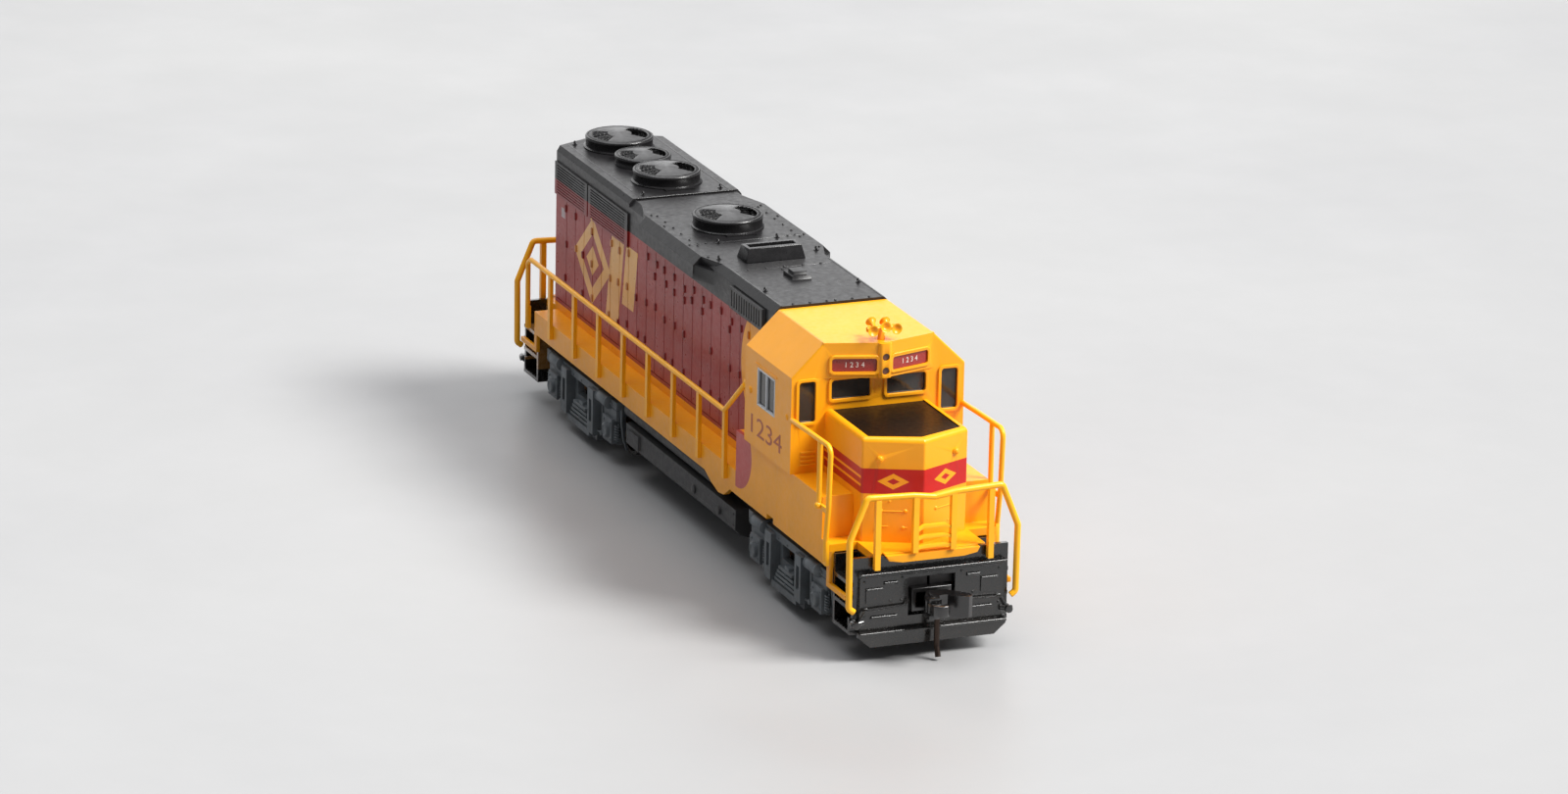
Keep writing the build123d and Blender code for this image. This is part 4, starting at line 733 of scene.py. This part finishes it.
# ---- cab ----
def build_window_frames():
    """Silver side windows with a centre post, cab side details, and rims round the front windows."""
    x_low, x_high, z_low, z_high = 24.1, 29.0, 20.5, 24.6
    bm = bmesh.new()
    for side in (-1, 1):
        near, far = sorted((side * (CAB_SIDE - 0.28), side * (CAB_SIDE + 0.03)))
        bar = 0.22
        add_box(bm, (x_low, near, z_low), (x_high, far, z_low + bar))
        add_box(bm, (x_low, near, z_high - bar), (x_high, far, z_high))
        for x in (x_low, (x_low + x_high) / 2 - bar / 2, x_high - bar):
            add_box(bm, (x, near, z_low + bar * 0.5), (x + bar, far, z_high - bar * 0.5))
    make("side_window_frames", bm, SILVER_PAINT, bevel=0.04)
    # drip rails over the side windows, and two bosses on each side
    bm = bmesh.new()
    for side in (-1, 1):
        add_tube(bm, [(x_low - 0.5, side * (CAB_SIDE + 0.02), z_high + 0.35),
                      (x_high + 0.5, side * (CAB_SIDE + 0.02), z_high + 0.35)], 0.09, 8)
        add_dome(bm, (CAB_REAR + 1.5, side * CAB_SIDE, 21.6), (0, side, 0), 0.42, 0.2)
        add_dome(bm, (CAB_FRONT - 1.2, side * CAB_SIDE, 21.6), (0, side, 0), 0.36, 0.16)
    make("cab_side_details", bm, MATERIALS["cab_paint"], sharp=60)
    # raised rims round the front windows, and a dark gasket inside each
    for name, inset, radius, material, slot in (("rims", 0.0, 0.15, MATERIALS["cab_paint"], "cab_paint"),
                                                ("gaskets", 0.32, 0.1, GASKET, "glazing")):
        bm = bmesh.new()
        for side in (-1, 1):
            for y, z, width, height in ((3.1, 24.45, 4.6, 2.3), (7.97, 23.4, 2.1, 4.6)):
                centre = (CAB_FRONT + 0.02 - inset * 0.4, side * y, z)
                frame_line = rounded_frame(centre, (0, 1, 0), (0, 0, 1), width - inset, height - inset, 0.35)
                add_tube(bm, frame_line, radius, 10, closed=True)
        make("front_window_" + name, bm, material, sharp=70)


build_window_frames()


def build_digits():
    """Plain digits, 1 to 4, on the number boards and the cab sides."""
    tip, board_side, board_z = CAB_FRONT + 1.8, 6.2, 27.2
    for side, name in ((-1, "right"), (1, "left")):
        outward = Vector((board_side, side * (tip - CAB_FRONT), 0)).normalized()
        across = Vector((-side * outward.y, side * outward.x, 0)) * side
        place = Vector(((tip + CAB_FRONT) / 2, side * board_side / 2, board_z)) - outward * 0.02
        lettering(f"number_board_digits_{name}", "1 2 3 4", 0.62, place, across, (0, 0, 1),
                  PALE_PAINT, stretch=0.95)
        lettering(f"cab_side_digits_{name}", "1234", 2.3, (26.4, side * CAB_SIDE, 18.0),
                  (-side, 0, 0), (0, 0, 1), DIGIT_PAINT, stretch=1.65)
        bm = bmesh.new()
        rim = rounded_frame(place + outward * 0.03, across, (0, 0, 1), 5.15, 1.85, 0.4)
        add_tube(bm, rim, 0.17, 10, closed=True)
        make(f"number_board_rim_{name}", bm, MATERIALS["cab_paint"], sharp=70)


build_digits()


# ---- horn ----
def build_horn():
    """Five turned trumpets on a manifold."""
    x = (HORN_LOW.x + HORN_HIGH.x) / 2
    z = HORN_LOW.z + 1.15
    bm = bmesh.new()
    add_lathe(bm, (x, 0, HORN_LOW.z - 0.1), (0, 0, 1),
              [(0.42, 0), (0.38, 0.3), (0.32, 1.2), (0.36, 1.35), (0, 1.4)], 20)
    add_tube(bm, [(x, -1.6, z), (x, 1.6, z)], 0.28, 12)
    flare = [(0.2, 0), (0.22, 0.35), (0.27, 0.6), (0.35, 0.8), (0.47, 0.93), (0.58, 1.0)]
    forward_bells = ((-1.35, 1.15, 0.15), (0.0, 1.3, 0.5), (1.35, 1.0, 0.1))
    backward_bells = ((-0.7, -1.15, 0.5), (0.75, -0.95, 0.45))
    for y, reach, rise in forward_bells + backward_bells:
        axis = Vector((reach, 0, rise))
        outer = [(r, h * axis.length) for r, h in flare]
        bell = outer + [(0.5, axis.length * 0.995), (0.36, axis.length * 0.86), (0, axis.length * 0.7)]
        add_lathe(bm, (x, y, z), axis, bell, 20)
        add_dome(bm, (x, y, z), -axis, 0.34, 0.3, 14)
    horn = make("chime_horn", bm, MATERIALS["cab_paint"], sharp=50)
    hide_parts("horn")


build_horn()


# ---- nose ----
def on_nose(side, y, z, out):
    """A point on a sloping front face of the nose, a distance out from it."""
    slope = (NOSE_TIP - NOSE_CORNER) / NOSE_SIDE
    outward = Vector((1, side * slope, 0)).normalized()
    return Vector((NOSE_TIP - slope * y, side * y, z)) + outward * out


def build_nose_details():
    """Hinges, latches and door seams low on the sloping faces, and a boss above the band."""
    bm = bmesh.new()
    slope = (NOSE_TIP - NOSE_CORNER) / NOSE_SIDE
    for side in (-1, 1):
        outward = Vector((1, side * slope, 0)).normalized()
        for y, z, radius in ((1.7, 14.6, 0.24), (4.0, 14.6, 0.24), (1.9, 12.8, 0.22), (4.4, 12.7, 0.26),
                             (3.2, 15.6, 0.16)):
            add_dome(bm, on_nose(side, y, z, -0.02), outward, radius, radius * 0.75, 12)
        for y_near, y_far, z in ((1.5, 4.2, 14.55), (3.3, 4.5, 12.9), (1.5, 2.1, 12.8)):
            add_tube(bm, [on_nose(side, y_near, z, 0.0), on_nose(side, y_far, z, 0.0)], 0.09, 8)
        add_dome(bm, on_nose(side, 4.2, 20.2, 0.2), outward, 0.34, 0.24, 16)
    make("nose_hardware", bm, MATERIALS["cab_paint"], sharp=60)


build_nose_details()


# ---- fuel tank ----
def build_tank_details():
    """Domed reservoir ends, bolts on the tank's end flanges and a filler boss."""
    side_y = TANK_HIGH.y - 0.25
    bm = bmesh.new()
    for side in (-1, 1):
        for x, out in ((-17.0, -1), (12.0, 1)):
            add_dome(bm, (x, side * 7.75, 7.55), (out, 0, 0), 0.88, 0.35, 24)
        for x in (-15.6, 15.6):
            for z in (4.5, 5.7):
                add_dome(bm, (x, side * side_y, z), (0, side, 0), 0.14, 0.1, 10)
        add_lathe(bm, (4.2, side * (side_y - 0.05), 5.0), (0, side, 0),
                  [(0.5, 0), (0.5, 0.2), (0.38, 0.28), (0, 0.28)], 24)
    make("tank_details", bm, MATERIALS["tank_plastic"], sharp=45)


build_tank_details()


# ---- trucks ----
def build_truck_details(end, place):
    """Springs, bolts, brake gear and pipes on both side frames of a truck."""
    middle = place * TRUCK_X
    bm = bmesh.new()
    for side in (-1, 1):
        def at(x, out, z):
            return (middle + x, side * (TRUCK_FACE + out), z)

        for x in (-AXLE_OFFSET, AXLE_OFFSET):
            # journal lid: ring and four bolts
            add_lathe(bm, at(x, 0.9, 3.8), (0, side, 0),
                      [(0.82, 0), (0.82, 0.18), (0.62, 0.26), (0.5, 0.18), (0, 0.2)], 28)
            for dx, dz in ((-0.95, -0.9), (0.95, -0.9), (-0.95, 0.95), (0.95, 0.95)):
                add_dome(bm, at(x + dx, 0.74, 3.85 + dz), (0, side, 0), 0.17, 0.14, 8)
            # coil springs beside each journal box
            for dx in (-1.9, 1.9):
                turns = [at(x + dx + 0.28 * cos(a), 0.25 + 0.28 * sin(a), 3.1 + 0.3 * a / (2 * pi))
                         for a in [2 * pi * k / 10 for k in range(0, 61)]]
                add_tube(bm, turns, 0.085, 6)
        # bolts along the top chord
        for k in range(9):
            add_dome(bm, at(-9.6 + 2.4 * k, 0.54, 6.85), (0, side, 0), 0.14, 0.12, 8)
        # brake rigging: a long rod with clevises, and hangers down to the shoes
        add_tube(bm, [at(-6.4, 0.45, 2.75), at(-3.9, 0.5, 2.35), at(3.9, 0.5, 2.35), at(6.4, 0.45, 2.75)],
                 0.13, 8)
        for x in (-6.3, 6.3):
            add_tube(bm, [at(x, 0.4, 6.5), at(x * 1.02, 0.42, 4.4), at(x * 0.98, 0.3, 2.6)], 0.17, 8)
            add_lathe(bm, at(x, 0.3, 2.7), (0, side, 0), [(0.3, 0), (0.3, 0.34), (0.2, 0.4), (0, 0.4)], 14)
        # brake cylinder heads with push rods
        for x, reach in ((-8.9, -1), (-6.1, 1), (6.1, -1), (8.9, 1)):
            cylinder = [(0.76, -0.12), (0.76, 0.06), (0.5, 0.2), (0.16, 0.24), (0.14, 0.7), (0, 0.72)]
            add_lathe(bm, at(x, 0.55, 7.0), (reach, 0, 0), cylinder, 20)
        # sand pipes at the outer ends
        for x in (-10.7, 10.7):
            lean = 1 if x > 0 else -1
            add_tube(bm, [at(x, -0.2, 7.2), at(x + lean * 0.35, 0.0, 5.2), at(x + lean * 0.25, -0.3, 3.2),
                          at(x - lean * 0.2, -0.9, 1.9)], 0.15, 8)
        # bolts of the spring band
        for z in (2.6, 3.6):
            add_dome(bm, at(0, 0.76, z), (0, side, 0), 0.2, 0.14, 10)
    make(f"{end}_truck_details", bm, MATERIALS["truck_plastic"],
         body=f"{end}_truck", sharp=50)


for end_name, direction in (("front", 1), ("rear", -1)):
    build_truck_details(end_name, direction)


# ---- pilots ----
def build_pilot_details(end, direction):
    """Bolt heads, beads on the ledges and ribs, the cut lever and step treads."""
    bm = bmesh.new()

    def at(out, y, z):
        return (direction * (PILOT_FACE + out), y, z)

    for side in (-1, 1):
        for y, z in ((3.4, 6.3), (4.6, 6.3), (7.5, 8.6), (3.3, 8.7), (7.5, 4.9)):
            add_dome(bm, at(0, side * y, z), (direction, 0, 0), 0.15, 0.12, 8)
        for y_near, y_far, z in ((3.9, 6.7, 4.72), (3.9, 5.3, 8.32), (5.5, 7.3, 7.78)):
            add_tube(bm, [at(0.15, side * y_near, z), at(0.15, side * y_far, z)], 0.12, 8)
        lever = [at(0.45, side * 8.2, 4.6), at(0.45, side * 7.6, 5.6),
                 at(0.35, side * 3.0, 5.75), at(0.3, side * 2.75, 6.4)]
        add_tube(bm, lever, 0.13, 8)
        near, far = sorted((side * 6.4, side * 8.7))
        for tread_z in (3.2, 5.8):
            for k in range(5):
                x = direction * (44.4 + 0.75 * k)
                add_box(bm, (x - 0.12, near, tread_z - 0.02), (x + 0.12, far, tread_z + 0.06))
    for reach, out, z in ((8.1, 0.5, 9.5), (7.95, 0.0, 9.1), (8.1, 0.64, 3.16)):
        add_tube(bm, [at(out, -reach, z), at(out, reach, z)], 0.14, 8)
    make(f"{end}_pilot_details", bm, MATERIALS["pilot_plastic"], sharp=50)


for end_name, direction in (("front", 1), ("rear", -1)):
    build_pilot_details(end_name, direction)


# ---- floor, light and camera ----
def build_floor():
    s = Surface("pale floor", specular=0.4)
    colour = s.mix(s.ramp(s.noise(0.012, 4.0), 0.3, 0.7), display(160, 160, 161), display(166, 166, 166))
    s.join(colour, s.shader.inputs["Base Color"])
    s.join(s.ramp(s.noise(0.05, 5.0), 0.3, 0.7, 0.36, 0.5), s.shader.inputs["Roughness"])
    s.grain((s.noise(0.5, 3.0), 0.01))
    mesh = bpy.data.meshes.new("floor")
    bm = bmesh.new()
    bmesh.ops.create_grid(bm, x_segments=8, y_segments=8, size=6)
    bm.to_mesh(mesh)
    bm.free()
    mesh.materials.append(s.material)
    floor = bpy.data.objects.new("floor", mesh)
    floor.location.z = cad_box[0].z
    bpy.context.scene.collection.objects.link(floor)


build_floor()


def add_area(name, place, target, size, power, colour=(1.0, 1.0, 1.0)):
    """A soft square light that points at a target."""
    light = bpy.data.lights.new(name, "AREA")
    light.size = size
    light.energy = power
    light.color = colour
    lamp = bpy.data.objects.new(name, light)
    lamp.location = place
    lamp.rotation_mode = "QUATERNION"
    lamp.rotation_quaternion = (Vector(target) - Vector(place)).to_track_quat("-Z", "Y")
    bpy.context.scene.collection.objects.link(lamp)


add_area("key", (1.0, 1.34, 1.85), (0, 0, 0.01), 0.9, 108, (1.0, 0.99, 0.97))
add_area("top", (-0.2, -0.3, 2.6), (0, 0, 0), 2.2, 46, (0.97, 0.98, 1.0))
add_area("back card", (-2.6, 0.3, 0.9), (0, 0, 0.1), 2.4, 20)

world = bpy.data.worlds.new("studio")
world.use_nodes = True
world.node_tree.nodes["Background"].inputs["Color"].default_value = (0.86, 0.88, 0.92, 1.0)
world.node_tree.nodes["Background"].inputs["Strength"].default_value = 0.225
bpy.context.scene.world = world
bpy.context.scene.view_settings.view_transform = "Standard"


def build_camera():
    """A long lens in front and to the right of the model, looking down on it."""
    place = Vector((0.7852, -0.3190, 0.2786))
    target = Vector((0.00687, 0.00040, 0.0152))
    roll = radians(1.17)
    ahead = (target - place).normalized()
    right = ahead.cross(Vector((0, 0, 1))).normalized()
    up = right.cross(ahead)
    tilted_right = right * cos(roll) + up * sin(roll)
    tilted_up = up * cos(roll) - right * sin(roll)
    camera = bpy.data.objects.new("camera", bpy.data.cameras.new("camera"))
    camera.data.sensor_width = 36
    camera.data.lens = 189.3
    camera.data.clip_start = 0.01
    turn = Matrix((tilted_right, tilted_up, -ahead)).transposed()
    camera.matrix_world = Matrix.Translation(place) @ turn.to_4x4()
    bpy.context.scene.collection.objects.link(camera)
    bpy.context.scene.camera = camera


build_camera()
